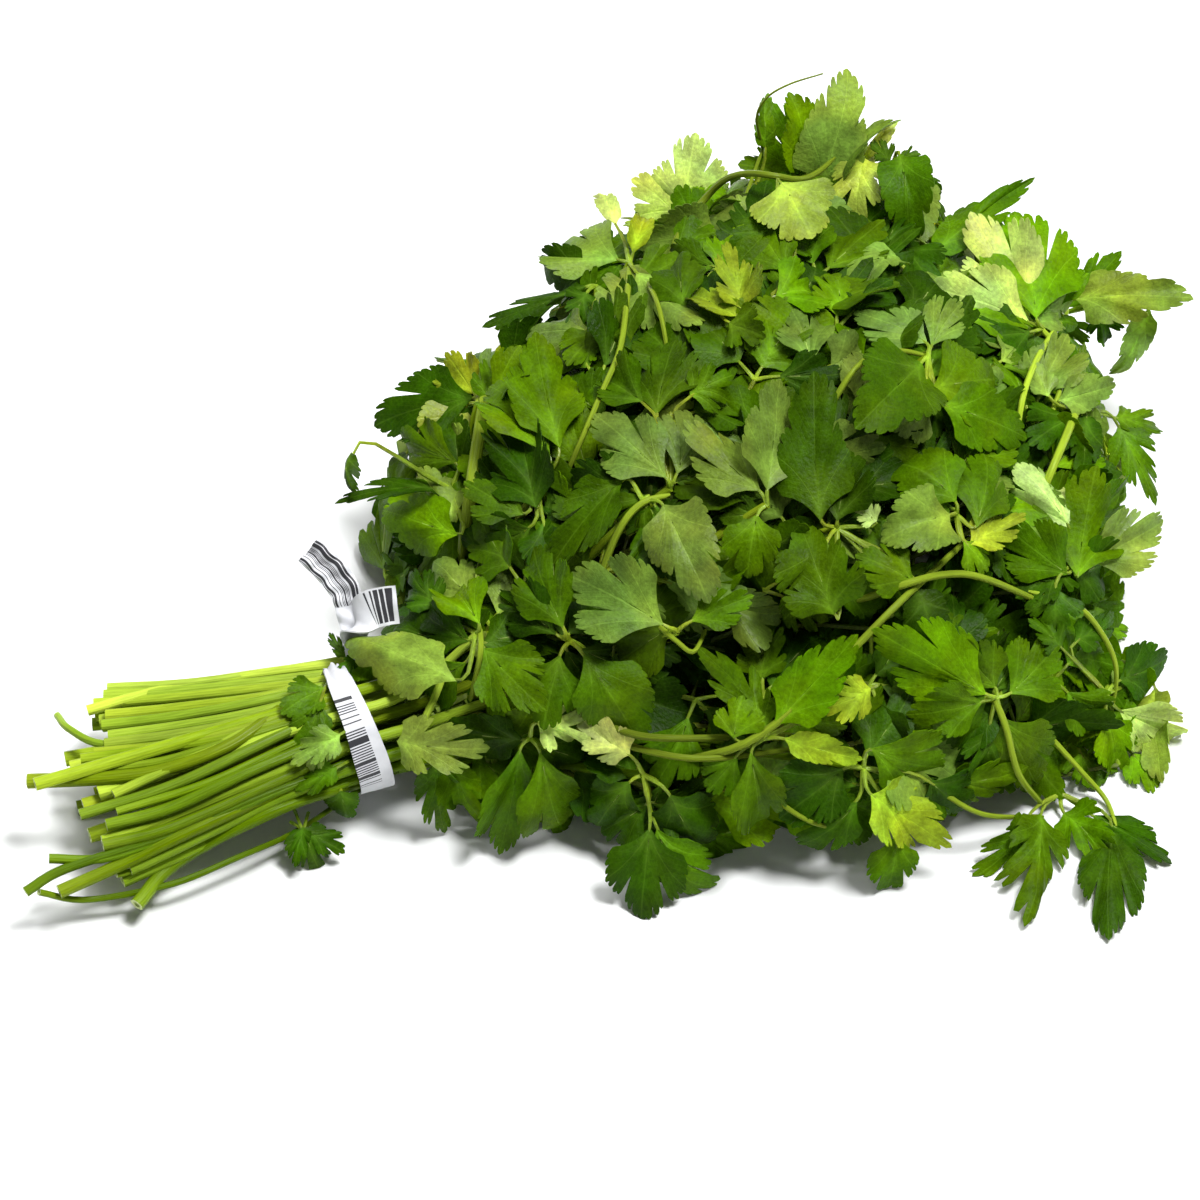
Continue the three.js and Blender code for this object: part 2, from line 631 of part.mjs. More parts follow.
// ---- the bunch ---------------------------------------------------------------------------------

const group = new THREE.Group();
group.name = 'coriander_bunch';

/** Adds a solid to the bunch as one named piece with its own finish. */
function addPiece(name, solid, color, roughness) {
  const geometry = toGeometry(solid);
  geometry.translate(DATUM.x, DATUM.y, DATUM.z);
  const mesh = new THREE.Mesh(geometry, new THREE.MeshStandardMaterial({
    color,
    roughness,
    metalness: 0,
  }));
  mesh.name = name;
  group.add(mesh);
}

const leaves = resolveLeaves();
const leafByName = new Map(leaves.map((leaf) => [leaf.name, leaf]));
const stemLeaves = leaves.filter((leaf) => !BRANCHES.has(leaf.name));
const slots = assignSlots(stemLeaves.map((leaf) => leaf.crown));
const stemLines = stemLeaves.map((leaf, i) => ({
  curve: stemCurve(slots[i], leaf, i),
  branches: leaves.filter((other) => BRANCHES.get(other.name) === leaf.name),
}));

/** One whole stem with its side branches, grown by margin. */
function wholeStem(line, margin) {
  return line.branches.reduce(
    (stem, leaf) => stem.add(branchSolid(line.curve.outer, leaf, margin)),
    stemSolid(line.curve.whole, margin),
  );
}

const tie = tieSolid();
addPiece('twist_tie', largestPiece(tie), PAPER_COLOUR, 0.7);

const hubCutters = leaves.map((leaf) => hubSolid(leaf.crown, CUTTER_MARGIN));
const stemCutters = [];
stemLines.forEach((line, i) => {
  const stem = largestPiece(clearOf(wholeStem(line, 0), [...stemCutters, ...hubCutters]));
  stemCutters.push(wholeStem(line, CUTTER_MARGIN));
  addPiece(`stem_${String(i + 1).padStart(2, '0')}`, stem, STEM_COLOUR, 0.4);
});

const coreCutters = leaves.map((leaf) => coreSolid(leaf, CUTTER_MARGIN));
const bladeCutters = [];
leaves.forEach((leaf, i) => {
  const core = clearOf(coreSolid(leaf, 0), [...stemCutters, ...coreCutters.slice(0, i)]);
  const others = coreCutters.filter((_, j) => j !== i);
  const blades = clearOf(bladesSolid(leaf, 0), [...stemCutters, ...others, ...bladeCutters]);
  bladeCutters.push(bladesSolid(leaf, CUTTER_MARGIN));
  addPiece(leaf.name, largestPiece(core.add(blades)), GREENS[leaf.colour], 0.5);
});

export default group;
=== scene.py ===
"""Fresh coriander bunch: branching stems in a paper twist tie and a loose heap of leaves."""

import json
import logging
import math
from collections.abc import Callable
from dataclasses import dataclass
from enum import Enum

import bpy
import numpy as np
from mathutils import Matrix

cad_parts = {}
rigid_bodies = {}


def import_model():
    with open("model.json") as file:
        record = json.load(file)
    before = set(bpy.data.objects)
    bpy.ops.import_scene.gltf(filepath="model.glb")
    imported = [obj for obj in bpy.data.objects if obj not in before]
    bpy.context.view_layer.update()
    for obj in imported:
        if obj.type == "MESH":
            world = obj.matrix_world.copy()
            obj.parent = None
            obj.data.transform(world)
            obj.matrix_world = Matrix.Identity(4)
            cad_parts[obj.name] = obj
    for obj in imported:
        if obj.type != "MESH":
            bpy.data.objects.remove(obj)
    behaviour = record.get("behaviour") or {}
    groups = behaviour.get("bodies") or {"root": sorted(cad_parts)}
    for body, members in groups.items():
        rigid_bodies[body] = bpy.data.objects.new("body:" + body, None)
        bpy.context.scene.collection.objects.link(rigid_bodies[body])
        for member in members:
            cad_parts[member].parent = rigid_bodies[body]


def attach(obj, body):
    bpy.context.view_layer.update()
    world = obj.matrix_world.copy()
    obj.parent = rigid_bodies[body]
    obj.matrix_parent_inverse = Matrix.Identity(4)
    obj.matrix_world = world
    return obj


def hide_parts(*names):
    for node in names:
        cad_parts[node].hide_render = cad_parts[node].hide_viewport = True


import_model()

LOG = logging.getLogger("coriander")
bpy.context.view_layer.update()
MM = 0.001  # the sizes below are millimetres, Blender's are metres
DATUM = np.array([-72.7, -73.15, 0.0])  # the tie's foot in the model's own frame
TIE_CENTRE = np.array([0.0, 0.0, 24.0])
UP = np.array([0.0, 0.0, 1.0])
SHARP_ANGLE = 50.0  # degrees between faces, past which an edge stays sharp


# ---- small helpers -------------------------------------------------------------------------------


def linear(hex_code: str) -> tuple[float, float, float, float]:
    """Turn an sRGB hex colour into linear red, green, blue and alpha.

    Args:
        hex_code: Six hex digits, such as "6fae1a".

    Returns:
        The linear colour with alpha 1.
    """
    parts = [int(hex_code[i : i + 2], 16) / 255 for i in (0, 2, 4)]
    r, g, b = [c / 12.92 if c <= 0.04045 else ((c + 0.055) / 1.055) ** 2.4 for c in parts]
    return r, g, b, 1.0


def add(
    tree: bpy.types.NodeTree, kind: str, inputs: dict | None = None, **settings: object
) -> bpy.types.Node:
    """Add a shader node with its settings and what goes into its sockets.

    Args:
        tree: The node tree that gets the node.
        kind: The node's type name without "ShaderNode".
        inputs: Socket name or index to a value, to the socket that feeds it, or to the node whose
            first output does.
        **settings: Properties of the node.

    Returns:
        The new node.
    """
    made = tree.nodes.new("ShaderNode" + kind)
    for name, value in settings.items():
        setattr(made, name, value)
    for socket, value in (inputs or {}).items():
        if isinstance(value, bpy.types.Node):
            value = value.outputs[0]
        if isinstance(value, bpy.types.NodeSocket):
            tree.links.new(value, made.inputs[socket])
        else:
            made.inputs[socket].default_value = value
    return made


def unit(vector: np.ndarray) -> np.ndarray:
    """Scale a vector, or each row of an array of them, to length 1."""
    return vector / np.maximum(np.linalg.norm(vector, axis=-1, keepdims=True), 1e-9)


def turned(vector: np.ndarray, axis: np.ndarray, degrees: float) -> np.ndarray:
    """Turn a vector about a unit axis.

    Args:
        vector: What is turned.
        axis: The axis, of length 1.
        degrees: How far, by the right-hand rule.

    Returns:
        The turned vector.
    """
    angle = math.radians(degrees)
    across = np.cross(axis, vector)
    along = axis * np.dot(axis, vector)
    return vector * math.cos(angle) + across * math.sin(angle) + along * (1 - math.cos(angle))


def bezier(points: list[np.ndarray], shares: np.ndarray) -> np.ndarray:
    """Points on a Bezier curve of any degree.

    Args:
        points: Its control points.
        shares: Where on the curve, from 0 to 1.

    Returns:
        One row for each share.
    """
    degree = len(points) - 1
    rows = np.zeros((len(shares), 3))
    for i, point in enumerate(points):
        weight = math.comb(degree, i) * shares**i * (1 - shares) ** (degree - i)
        rows += weight[:, None] * point
    return rows


def lengths(line: np.ndarray) -> np.ndarray:
    """Length of a line up to each of its points."""
    return np.concatenate([[0], np.cumsum(np.linalg.norm(np.diff(line, axis=0), axis=1))])


def between(where: np.ndarray, knots: np.ndarray, rows: np.ndarray) -> np.ndarray:
    """Interpolate each column of some rows.

    Args:
        where: Where rows are wanted.
        knots: Where the given rows stand.
        rows: One row a knot.

    Returns:
        One row for each place wanted.
    """
    return np.stack([np.interp(where, knots, column) for column in rows.T], axis=1)


def evenly(line: np.ndarray, count: int) -> np.ndarray:
    """Some points evenly spaced along a line, its ends among them."""
    run = lengths(line)
    return between(np.linspace(0, run[-1], count), run, line)


def smooth_path(points: list[np.ndarray], count: int) -> np.ndarray:
    """A smooth line through a few points, evenly spaced along its length.

    Args:
        points: What the line passes through.
        count: How many points to give back.

    Returns:
        The line, one row a point.
    """
    knots = np.array(points)
    padded = np.vstack([2 * knots[0] - knots[1], knots, 2 * knots[-1] - knots[-2]])
    t = np.linspace(0, 1, 16, endpoint=False)[:, None]
    dense = []
    for i in range(len(knots) - 1):
        p0, p1, p2, p3 = padded[i : i + 4]
        square = 2 * p0 - 5 * p1 + 4 * p2 - p3
        cube = 3 * p1 - p0 - 3 * p2 + p3
        dense.append(0.5 * (2 * p1 + (p2 - p0) * t + square * t**2 + cube * t**3))
    return evenly(np.vstack(dense + [knots[-1:]]), count)


def pick(piece: bpy.types.Object, kind: str, test: Callable[[object], bool]) -> None:
    """In edit mode, select the faces or edges that pass a test, and nothing else.

    Args:
        piece: The object in edit mode.
        kind: "FACE" or "EDGE".
        test: Takes a polygon or an edge and says whether it is selected.
    """
    bpy.ops.mesh.select_mode(type=kind)
    bpy.ops.mesh.select_all(action="DESELECT")
    bpy.ops.object.mode_set(mode="OBJECT")
    for item in piece.data.polygons if kind == "FACE" else piece.data.edges:
        item.select = test(item)
    bpy.ops.object.mode_set(mode="EDIT")


# ---- meshes in the making ------------------------------------------------------------------------


@dataclass
class Shell:
    """A closed mesh in millimetres from the tie's foot, before it becomes an object."""

    points: np.ndarray
    faces: list[np.ndarray]  # one array of corner numbers for each count of corners
    finish: list[np.ndarray]  # the material slot of each face, in the same order
    pattern: np.ndarray  # two numbers a point, for the UV map
    tone: np.ndarray  # linear colour of each point

    @staticmethod
    def join(shells: list["Shell"]) -> "Shell":
        """Put several shells in one.

        Args:
            shells: The shells, which stay as they are.

        Returns:
            One shell with all their faces.
        """
        starts = np.cumsum([0] + [len(shell.points) for shell in shells])
        points, pattern, tone = (
            np.vstack([getattr(shell, name) for shell in shells])
            for name in ("points", "pattern", "tone")
        )
        faces = [group + start for shell, start in zip(shells, starts) for group in shell.faces]
        finish = [part for shell in shells for part in shell.finish]
        return Shell(points, faces, finish, pattern, tone)

    def to_piece(
        self, name: str, materials: list[bpy.types.Material], slot: str, node: str = ""
    ) -> None:
        """Make the shell a piece, smooth except at its sharp edges, that rides on the part.

        Args:
            name: The piece's name.
            materials: Its material slots.
            slot: The record's slot that it would take its finish from; not used.
            node: The CAD node that it stands for, if there is one.
        """
        mesh = bpy.data.meshes.new(name)
        counts = np.concatenate([np.full(len(group), group.shape[1]) for group in self.faces])
        corners = np.concatenate([group.ravel() for group in self.faces])
        mesh.vertices.add(len(self.points))
        mesh.vertices.foreach_set("co", ((self.points + DATUM) * MM).ravel())
        mesh.loops.add(len(corners))
        mesh.loops.foreach_set("vertex_index", corners)
        mesh.polygons.add(len(counts))
        for field, values in (
            ("loop_start", np.concatenate([[0], np.cumsum(counts)[:-1]])),
            ("loop_total", counts),
            ("material_index", np.concatenate(self.finish)),
            ("use_smooth", np.ones(len(counts), dtype=bool)),
        ):
            mesh.polygons.foreach_set(field, values)
        mesh.update(calc_edges=True)
        uv = mesh.uv_layers.new(name="pattern")
        uv.data.foreach_set("uv", self.pattern[corners].ravel())
        tone = mesh.color_attributes.new("tone", "FLOAT_COLOR", "POINT")
        tone.data.foreach_set("color", self.tone.ravel())
        mesh.validate()
        for material in materials:
            mesh.materials.append(material)
        piece = bpy.data.objects.new(name, mesh)
        bpy.context.collection.objects.link(piece)
        bpy.ops.object.select_all(action="DESELECT")
        piece.select_set(True)
        bpy.context.view_layer.objects.active = piece
        bpy.ops.object.shade_smooth_by_angle(angle=math.radians(SHARP_ANGLE))
        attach(piece, "root")
        if node:
            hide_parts(node)


def read_master(master: bpy.types.Object) -> tuple[np.ndarray, list[np.ndarray]]:
    """Read the corners and faces of a modelled master, then remove it.

    Args:
        master: A mesh object with only triangles, quads or larger faces.

    Returns:
        Its points, and its faces grouped by their count of corners.
    """
    mesh = master.data
    points = np.zeros(len(mesh.vertices) * 3)
    mesh.vertices.foreach_get("co", points)
    groups: dict[int, list[list[int]]] = {}
    for polygon in mesh.polygons:
        groups.setdefault(len(polygon.vertices), []).append(list(polygon.vertices))
    bpy.data.objects.remove(master)
    bpy.data.meshes.remove(mesh)
    return points.reshape(-1, 3), [np.array(groups[count]) for count in sorted(groups)]


# ---- the heap of leaves ------------------------------------------------------------------------


@dataclass(frozen=True)
class Heap:
    """Where things lie in the heap of leaves, given on an oblique sheet through the tie.

    A place is across (along X) and up (along the sheet, which leans back by lean degrees), and it
    sinks some millimetres under the heap's skin, square to the sheet.
    """

    lean: float = 50.0
    centre: tuple[float, float] = (122.0, 80.0)
    radius: float = 128.0
    height: float = 104.0
    power: float = 0.6
    heading: float = 20.0  # the bundle's axis at the tie, from +X towards +Y
    neck_radius: float = 19.0
    neck_flare: float = 0.5
    lowest: float = 2.5

    @property
    def sheet_up(self) -> np.ndarray:
        """Up along the sheet."""
        lean = math.radians(self.lean)
        return np.array([0.0, math.sin(lean), math.cos(lean)])

    @property
    def sheet_out(self) -> np.ndarray:
        """Square out of the sheet."""
        lean = math.radians(self.lean)
        return np.array([0.0, -math.cos(lean), math.sin(lean)])

    @property
    def axis(self) -> np.ndarray:
        """The bundle's direction at the tie, towards the leaves."""
        heading = math.radians(self.heading)
        return np.array([math.cos(heading), math.sin(heading), 0.0])

    @property
    def beside(self) -> np.ndarray:
        """Level and square to the bundle."""
        return np.cross(UP, self.axis)

    def on_sheet(self, across: float, up: float, out: float) -> np.ndarray:
        """A point in front of the sheet.

        Args:
            across: Millimetres along X.
            up: Millimetres up the sheet.
            out: Millimetres in front of it.

        Returns:
            The point.
        """
        return np.array([across, 0.0, TIE_CENTRE[2]]) + self.sheet_up * up + self.sheet_out * out

    def up_of(self, point: np.ndarray) -> float:
        """How far up the sheet a point stands."""
        return float((point - TIE_CENTRE) @ self.sheet_up)

    def skin(self, x: float, y: float) -> float:
        """Height of the heap's skin over a spot.

        Args:
            x: Along X.
            y: Along Y.

        Returns:
            Millimetres above the surface, 0 outside the heap.
        """
        dx = (x - self.centre[0]) / self.radius
        dy = (y - self.centre[1]) / self.radius
        inside = 1 - dx * dx - dy * dy
        dome = self.height * inside**self.power if inside > 0 else 0.0
        spot = np.array([x, y, 0.0])
        along = float(spot @ self.axis)
        beside = float(spot @ self.beside)
        radius = self.neck_radius + self.neck_flare * min(max(along, 0.0), 90.0)
        chord = radius * radius - beside * beside
        neck = TIE_CENTRE[2] + math.sqrt(chord) if -12 < along < 90 and chord > 0 else 0.0
        return max(dome, neck)

    def skin_out(self, across: float, up: float) -> float:
        """How far in front of the sheet the skin lies, or passes nearest.

        Args:
            across: Millimetres along X.
            up: Millimetres up the sheet.

        Returns:
            Millimetres in front of the sheet.
        """
        nearest, nearest_out = math.inf, 0.0
        for out in np.arange(130.0, -190.0, -0.5):
            point = self.on_sheet(across, up, out)
            skin = self.skin(point[0], point[1])
            clearance = point[2] - skin
            if clearance <= 0 and (skin > 0 or point[1] < self.centre[1]):
                return out
            if clearance < nearest and skin > 0:
                nearest, nearest_out = clearance, out
        return nearest_out

    def place(self, across: float, up: float, sink: float) -> np.ndarray:
        """A place in the heap, kept above the surface.

        Args:
            across: Millimetres along X.
            up: Millimetres up the sheet.
            sink: Millimetres under the skin, square to the sheet.

        Returns:
            The point.
        """
        out = self.skin_out(across, up) - sink
        lowest_out = (self.lowest - self.on_sheet(across, up, 0.0)[2]) / self.sheet_out[2]
        return self.on_sheet(across, up, max(out, lowest_out))

    def near(self, crown: np.ndarray, point: np.ndarray) -> np.ndarray:
        """Bring a place back to about the depth of the crown that carries it.

        Args:
            crown: The leaf's crown.
            point: Where a leaflet starts.

        Returns:
            The point, moved square to the sheet where it lay too far in or out.
        """
        away = point - crown
        lean = float(away @ self.sheet_out)
        reach = float(np.linalg.norm(away - self.sheet_out * lean))
        most = 6 + 1.2 * reach if reach < 25 else 0.5 * reach
        return point + self.sheet_out * (min(max(lean, -most), most) - lean)

    def facing(self, point: np.ndarray) -> np.ndarray:
        """Which way a leaf at a point faces: half way from the skin's slope to the sheet's facing.

        Args:
            point: A place in the heap.

        Returns:
            A direction of length 1.
        """
        step = 4.0
        x, y = point[0], point[1]
        slope_x = self.skin(x + step, y) - self.skin(x - step, y)
        slope_y = self.skin(x, y + step) - self.skin(x, y - step)
        return unit(unit(np.array([-slope_x, -slope_y, 2 * step])) + self.sheet_out)

    def tip(self, base: np.ndarray, across: float, up: float, sink: float, most: float) -> np.ndarray:
        """The tip of a blade, which leans only so far to or from the sheet.

        Args:
            base: Where the blade starts.
            across: The tip's place along X.
            up: The tip's place up the sheet.
            sink: Millimetres under the skin.
            most: Most it leans, as a share of its length.

        Returns:
            The point.
        """
        point = self.place(across, up, sink)
        reach = math.hypot(across - base[0], up - self.up_of(base))
        lean = float((point - base) @ self.sheet_out)
        allowed = min(max(lean, -most * reach), most * reach)
        point = point + self.sheet_out * (allowed - lean)
        if point[2] < self.lowest:
            point = point + self.sheet_out * ((self.lowest - point[2]) / self.sheet_out[2])
        return point


HEAP = Heap()


# ---- finishes ------------------------------------------------------------------------------------


class Tone(Enum):
    """The greens of the leaves, as sRGB hex of the blade's face."""

    PALE = "b2c96a"
    GREY = "7b9a39"
    OLIVE = "93ab3c"
    YELLOW = "93aa24"
    VIVID = "659200"
    MID = "4f7700"
    DARK = "325800"


def new_material(name: str) -> tuple[bpy.types.Material, bpy.types.NodeTree]:
    """Make an empty node material.

    Args:
        name: The material's name.

    Returns:
        The material and its cleared node tree.
    """
    material = bpy.data.materials.new(name)
    material.use_nodes = True
    material.node_tree.nodes.clear()
    return material, material.node_tree


@dataclass(frozen=True)
class LeafFinish:
    """Fresh coriander blade: a thin wet-green skin with sunken net veins, which lets light through.

    The upper face is slightly waxy. The underside is paler and matt, with the veins raised.
    """

    name: str = "coriander_blade_upper"
    vein_pitch: float = 4.6  # mm between side veins
    vein_width: float = 0.42  # mm, drawn a little wider than the real 0.2
    vein_lean: float = 2.3  # how steeply side veins run forward
    heart: tuple[float, float] = (13.0, 2.6)  # mm along and across, where veins pale the blade
    heart_share: float = 0.7
    fan: float = 0.84  # mm across, for each mm of radius and each vein unit
    net_cell: float = 1.3  # mm, the fine net between side veins
    mottle: float = 7.0  # mm, patches of lighter and darker green
    vein_lift: float = 0.38  # share of the paler vein colour
    vein_gain: float = 1.45  # of the blade's own colour
    vein_colour: str = "465620"  # added to it
    pale_mix: float = 0.0  # how much the face greys over
    pale_colour: str = "b3c270"
    ageing: float = 17.0  # mm, patches that yellow first
    aged_gain: tuple[float, float, float] = (1.24, 1.05, 0.9)
    cell: float = 1.1  # mm, cells drawn as coarse as they need to show
    grain: float = 0.13  # how much the cells differ in colour
    glow: float = 0.36  # share of light that comes through
    glow_gain: tuple[float, float, float] = (1.55, 1.45, 0.9)  # light through it is yellower
    roughness: float = 0.40
    relief: float = -0.25  # veins sunken below zero, raised above

    def build(self) -> bpy.types.Material:
        """Build the material.

        Returns:
            The material, which reads the UV map and the tone of each leaflet.
        """
        material, tree = new_material(self.name)
        colours, smooth = {"data_type": "RGBA"}, {"interpolation_type": "SMOOTHSTEP"}
        uv = add(tree, "UVMap", uv_map="pattern")
        split = add(tree, "SeparateXYZ", {0: uv})
        turn = add(tree, "Math", {0: split, 1: 0.5}, operation="PINGPONG")
        reach = add(tree, "Math", {0: turn, 1: split.outputs[1]}, operation="MULTIPLY")
        across = add(tree, "Math", {0: reach, 1: self.fan}, operation="MULTIPLY")
        width = self.vein_width
        main = add(tree, "MapRange", {0: across, 1: width, 2: width * 0.3, 3: 0.0, 4: 1.0}, **smooth)
        ahead = {0: across, 1: -self.vein_lean, 2: split.outputs[1]}
        lean = add(tree, "Math", ahead, operation="MULTIPLY_ADD")
        rows = add(tree, "Math", {0: lean, 1: self.vein_pitch / 2}, operation="PINGPONG")
        side = add(tree, "MapRange", {0: rows, 1: width * 0.9, 2: 0.05, 3: 0.0, 4: 0.6}, **smooth)
        place = add(tree, "TexCoord").outputs["Object"]
        cell = {"Vector": place, "Scale": 1 / (self.net_cell * MM)}
        net = add(tree, "TexVoronoi", cell, feature="DISTANCE_TO_EDGE")
        mesh_line = add(tree, "MapRange", {0: net, 1: 0.0, 2: 0.14, 3: 0.32, 4: 0.0})
        vein = add(tree, "Math", {0: main, 1: side}, operation="MAXIMUM")
        drawn = add(tree, "Math", {0: vein, 1: mesh_line}, operation="MAXIMUM")

        patches, cells, spread = (
            add(tree, "TexNoise", {"Vector": place, "Scale": 1 / (size * MM), "Detail": detail})
            for size, detail in ((self.mottle, 3.0), (self.cell, 2.0), (self.ageing, 1.0))
        )
        tone = add(tree, "Attribute", attribute_name="tone")
        shade = add(tree, "MapRange", {0: patches, 1: 0.3, 2: 0.7, 3: 0.7, 4: 1.3})
        few, many = 1 - self.grain, 1 + self.grain
        grain = add(tree, "MapRange", {0: cells, 1: 0.35, 2: 0.65, 3: few, 4: many})
        speckle = add(tree, "Math", {0: shade, 1: grain}, operation="MULTIPLY")
        mottled = add(tree, "VectorMath", {0: tone, "Scale": speckle}, operation="SCALE")
        age = add(tree, "MapRange", {0: spread, 1: 0.44, 2: 0.66, 3: 0.0, 4: 1.0})
        yellowed = add(tree, "VectorMath", {0: mottled, 1: self.aged_gain}, operation="MULTIPLY")
        aged = add(tree, "Mix", {0: age, 6: mottled, 7: yellowed}, **colours).outputs[2]
        greyed = {0: self.pale_mix, 6: aged, 7: linear(self.pale_colour)}
        faded = add(tree, "Mix", greyed, **colours).outputs[2]
        amount = add(tree, "Math", {0: drawn, 1: self.vein_lift}, operation="MULTIPLY")
        veined = {0: faded, 1: (self.vein_gain,) * 3, 2: linear(self.vein_colour)[:3]}
        paler = add(tree, "VectorMath", veined, operation="MULTIPLY_ADD")
        blade = add(tree, "Mix", {0: amount, 6: faded, 7: paler}, **colours).outputs[2]
        long, wide = self.heart
        near_base = add(tree, "MapRange", {0: split.outputs[1], 1: 1.0, 2: long, 3: 1.0, 4: 0.0})
        near_rib = add(tree, "MapRange", {0: across, 1: 0.0, 2: wide, 3: self.heart_share, 4: 0.0})
        heart = add(tree, "Math", {0: near_base, 1: near_rib}, operation="MULTIPLY")
        colour = add(tree, "Mix", {0: heart, 6: blade, 7: paler}, **colours).outputs[2]

        height = add(tree, "Math", {0: vein, 1: self.relief, 2: cells}, operation="MULTIPLY_ADD")
        bump = add(tree, "Bump", {"Height": height, "Strength": 0.55, "Distance": 0.5 * MM})
        wet, dry = self.roughness - 0.07, self.roughness + 0.09
        rough = add(tree, "MapRange", {0: patches, 1: 0.3, 2: 0.7, 3: wet, 4: dry})
        skin = {"Base Color": colour, "Roughness": rough, "Normal": bump, "IOR": 1.42}
        skin["Specular IOR Level"] = tone.outputs["Alpha"]
        face = add(tree, "BsdfPrincipled", skin)
        through = add(tree, "VectorMath", {0: colour, 1: self.glow_gain}, operation="MULTIPLY")
        light = add(tree, "BsdfTranslucent", {"Color": through, "Normal": bump})
        both = add(tree, "MixShader", {0: self.glow, 1: face, 2: light})
        add(tree, "OutputMaterial", {0: both})
        return material


@dataclass(frozen=True)
class StemFinish:
    """Fresh coriander stem: a juicy ribbed skin, waxy enough for a clear highlight."""

    name: str = "coriander_stem_skin"
    rib: float = 0.8  # mm between the fine ribs
    streak: tuple[float, float] = (0.7, 9.0)  # mm across and along, of the paler streaks
    roughness: float = 0.28

    def build(self) -> bpy.types.Material:
        """Build the material.

        Returns:
            The material, which reads the UV map and the tone along the stem.
        """
        material, tree = new_material(self.name)
        uv = add(tree, "UVMap", uv_map="pattern")
        tone = add(tree, "Attribute", attribute_name="tone")
        wide, long = self.streak
        along = add(tree, "Mapping", {"Vector": uv, "Scale": (1 / wide, 1 / long, 1.0)})
        streaks = add(tree, "TexNoise", {"Vector": along, "Scale": 1.0, "Detail": 4.0})
        shade = add(tree, "MapRange", {0: streaks, 1: 0.3, 2: 0.7, 3: 0.8, 4: 1.16})
        colour = add(tree, "VectorMath", {0: tone, "Scale": shade}, operation="SCALE")
        split = add(tree, "SeparateXYZ", {0: uv})
        ribs = add(tree, "Math", {0: split, 1: self.rib / 2}, operation="PINGPONG")
        height = add(tree, "Math", {0: ribs, 1: 1.6, 2: streaks}, operation="MULTIPLY_ADD")
        bump = add(tree, "Bump", {"Height": height, "Strength": 0.4, "Distance": 0.3 * MM})
        skin = {"Base Color": colour, "Roughness": self.roughness, "Normal": bump, "IOR": 1.42}
        skin["Specular IOR Level"] = 0.07
        add(tree, "OutputMaterial", {0: add(tree, "BsdfPrincipled", skin)})
        return material


@dataclass(frozen=True)
class CutFinish:
    """Cut face of a stem: pale wet pith with a greener rim."""

    name: str = "coriander_cut_pith"
    pith: float = 0.9  # mm, cells of the pith

    def build(self) -> bpy.types.Material:
        """Build the material.

        Returns:
            The material.
        """
        material, tree = new_material(self.name)
        place = add(tree, "TexCoord").outputs["Object"]
        cells = {"Vector": place, "Scale": 1 / (self.pith * MM), "Detail": 3.0}
        pith = add(tree, "TexNoise", cells)
        ends = {0: pith, 6: linear("8fa548"), 7: linear("d2dc9c")}
        colour = add(tree, "Mix", ends, data_type="RGBA").outputs[2]
        bump = add(tree, "Bump", {"Height": pith, "Strength": 0.5, "Distance": 0.4 * MM})
        wet = add(tree, "BsdfPrincipled", {"Base Color": colour, "Roughness": 0.35, "Normal": bump})
        add(tree, "OutputMaterial", {0: wet})
        return material


# ---- shapes that repeat --------------------------------------------------------------------------


class Cut(Enum):
    """How a leaflet's outline is cut."""

    FAN = "fan"
    ROUND = "round"
    NARROW = "narrow"
    FROND = "frond"


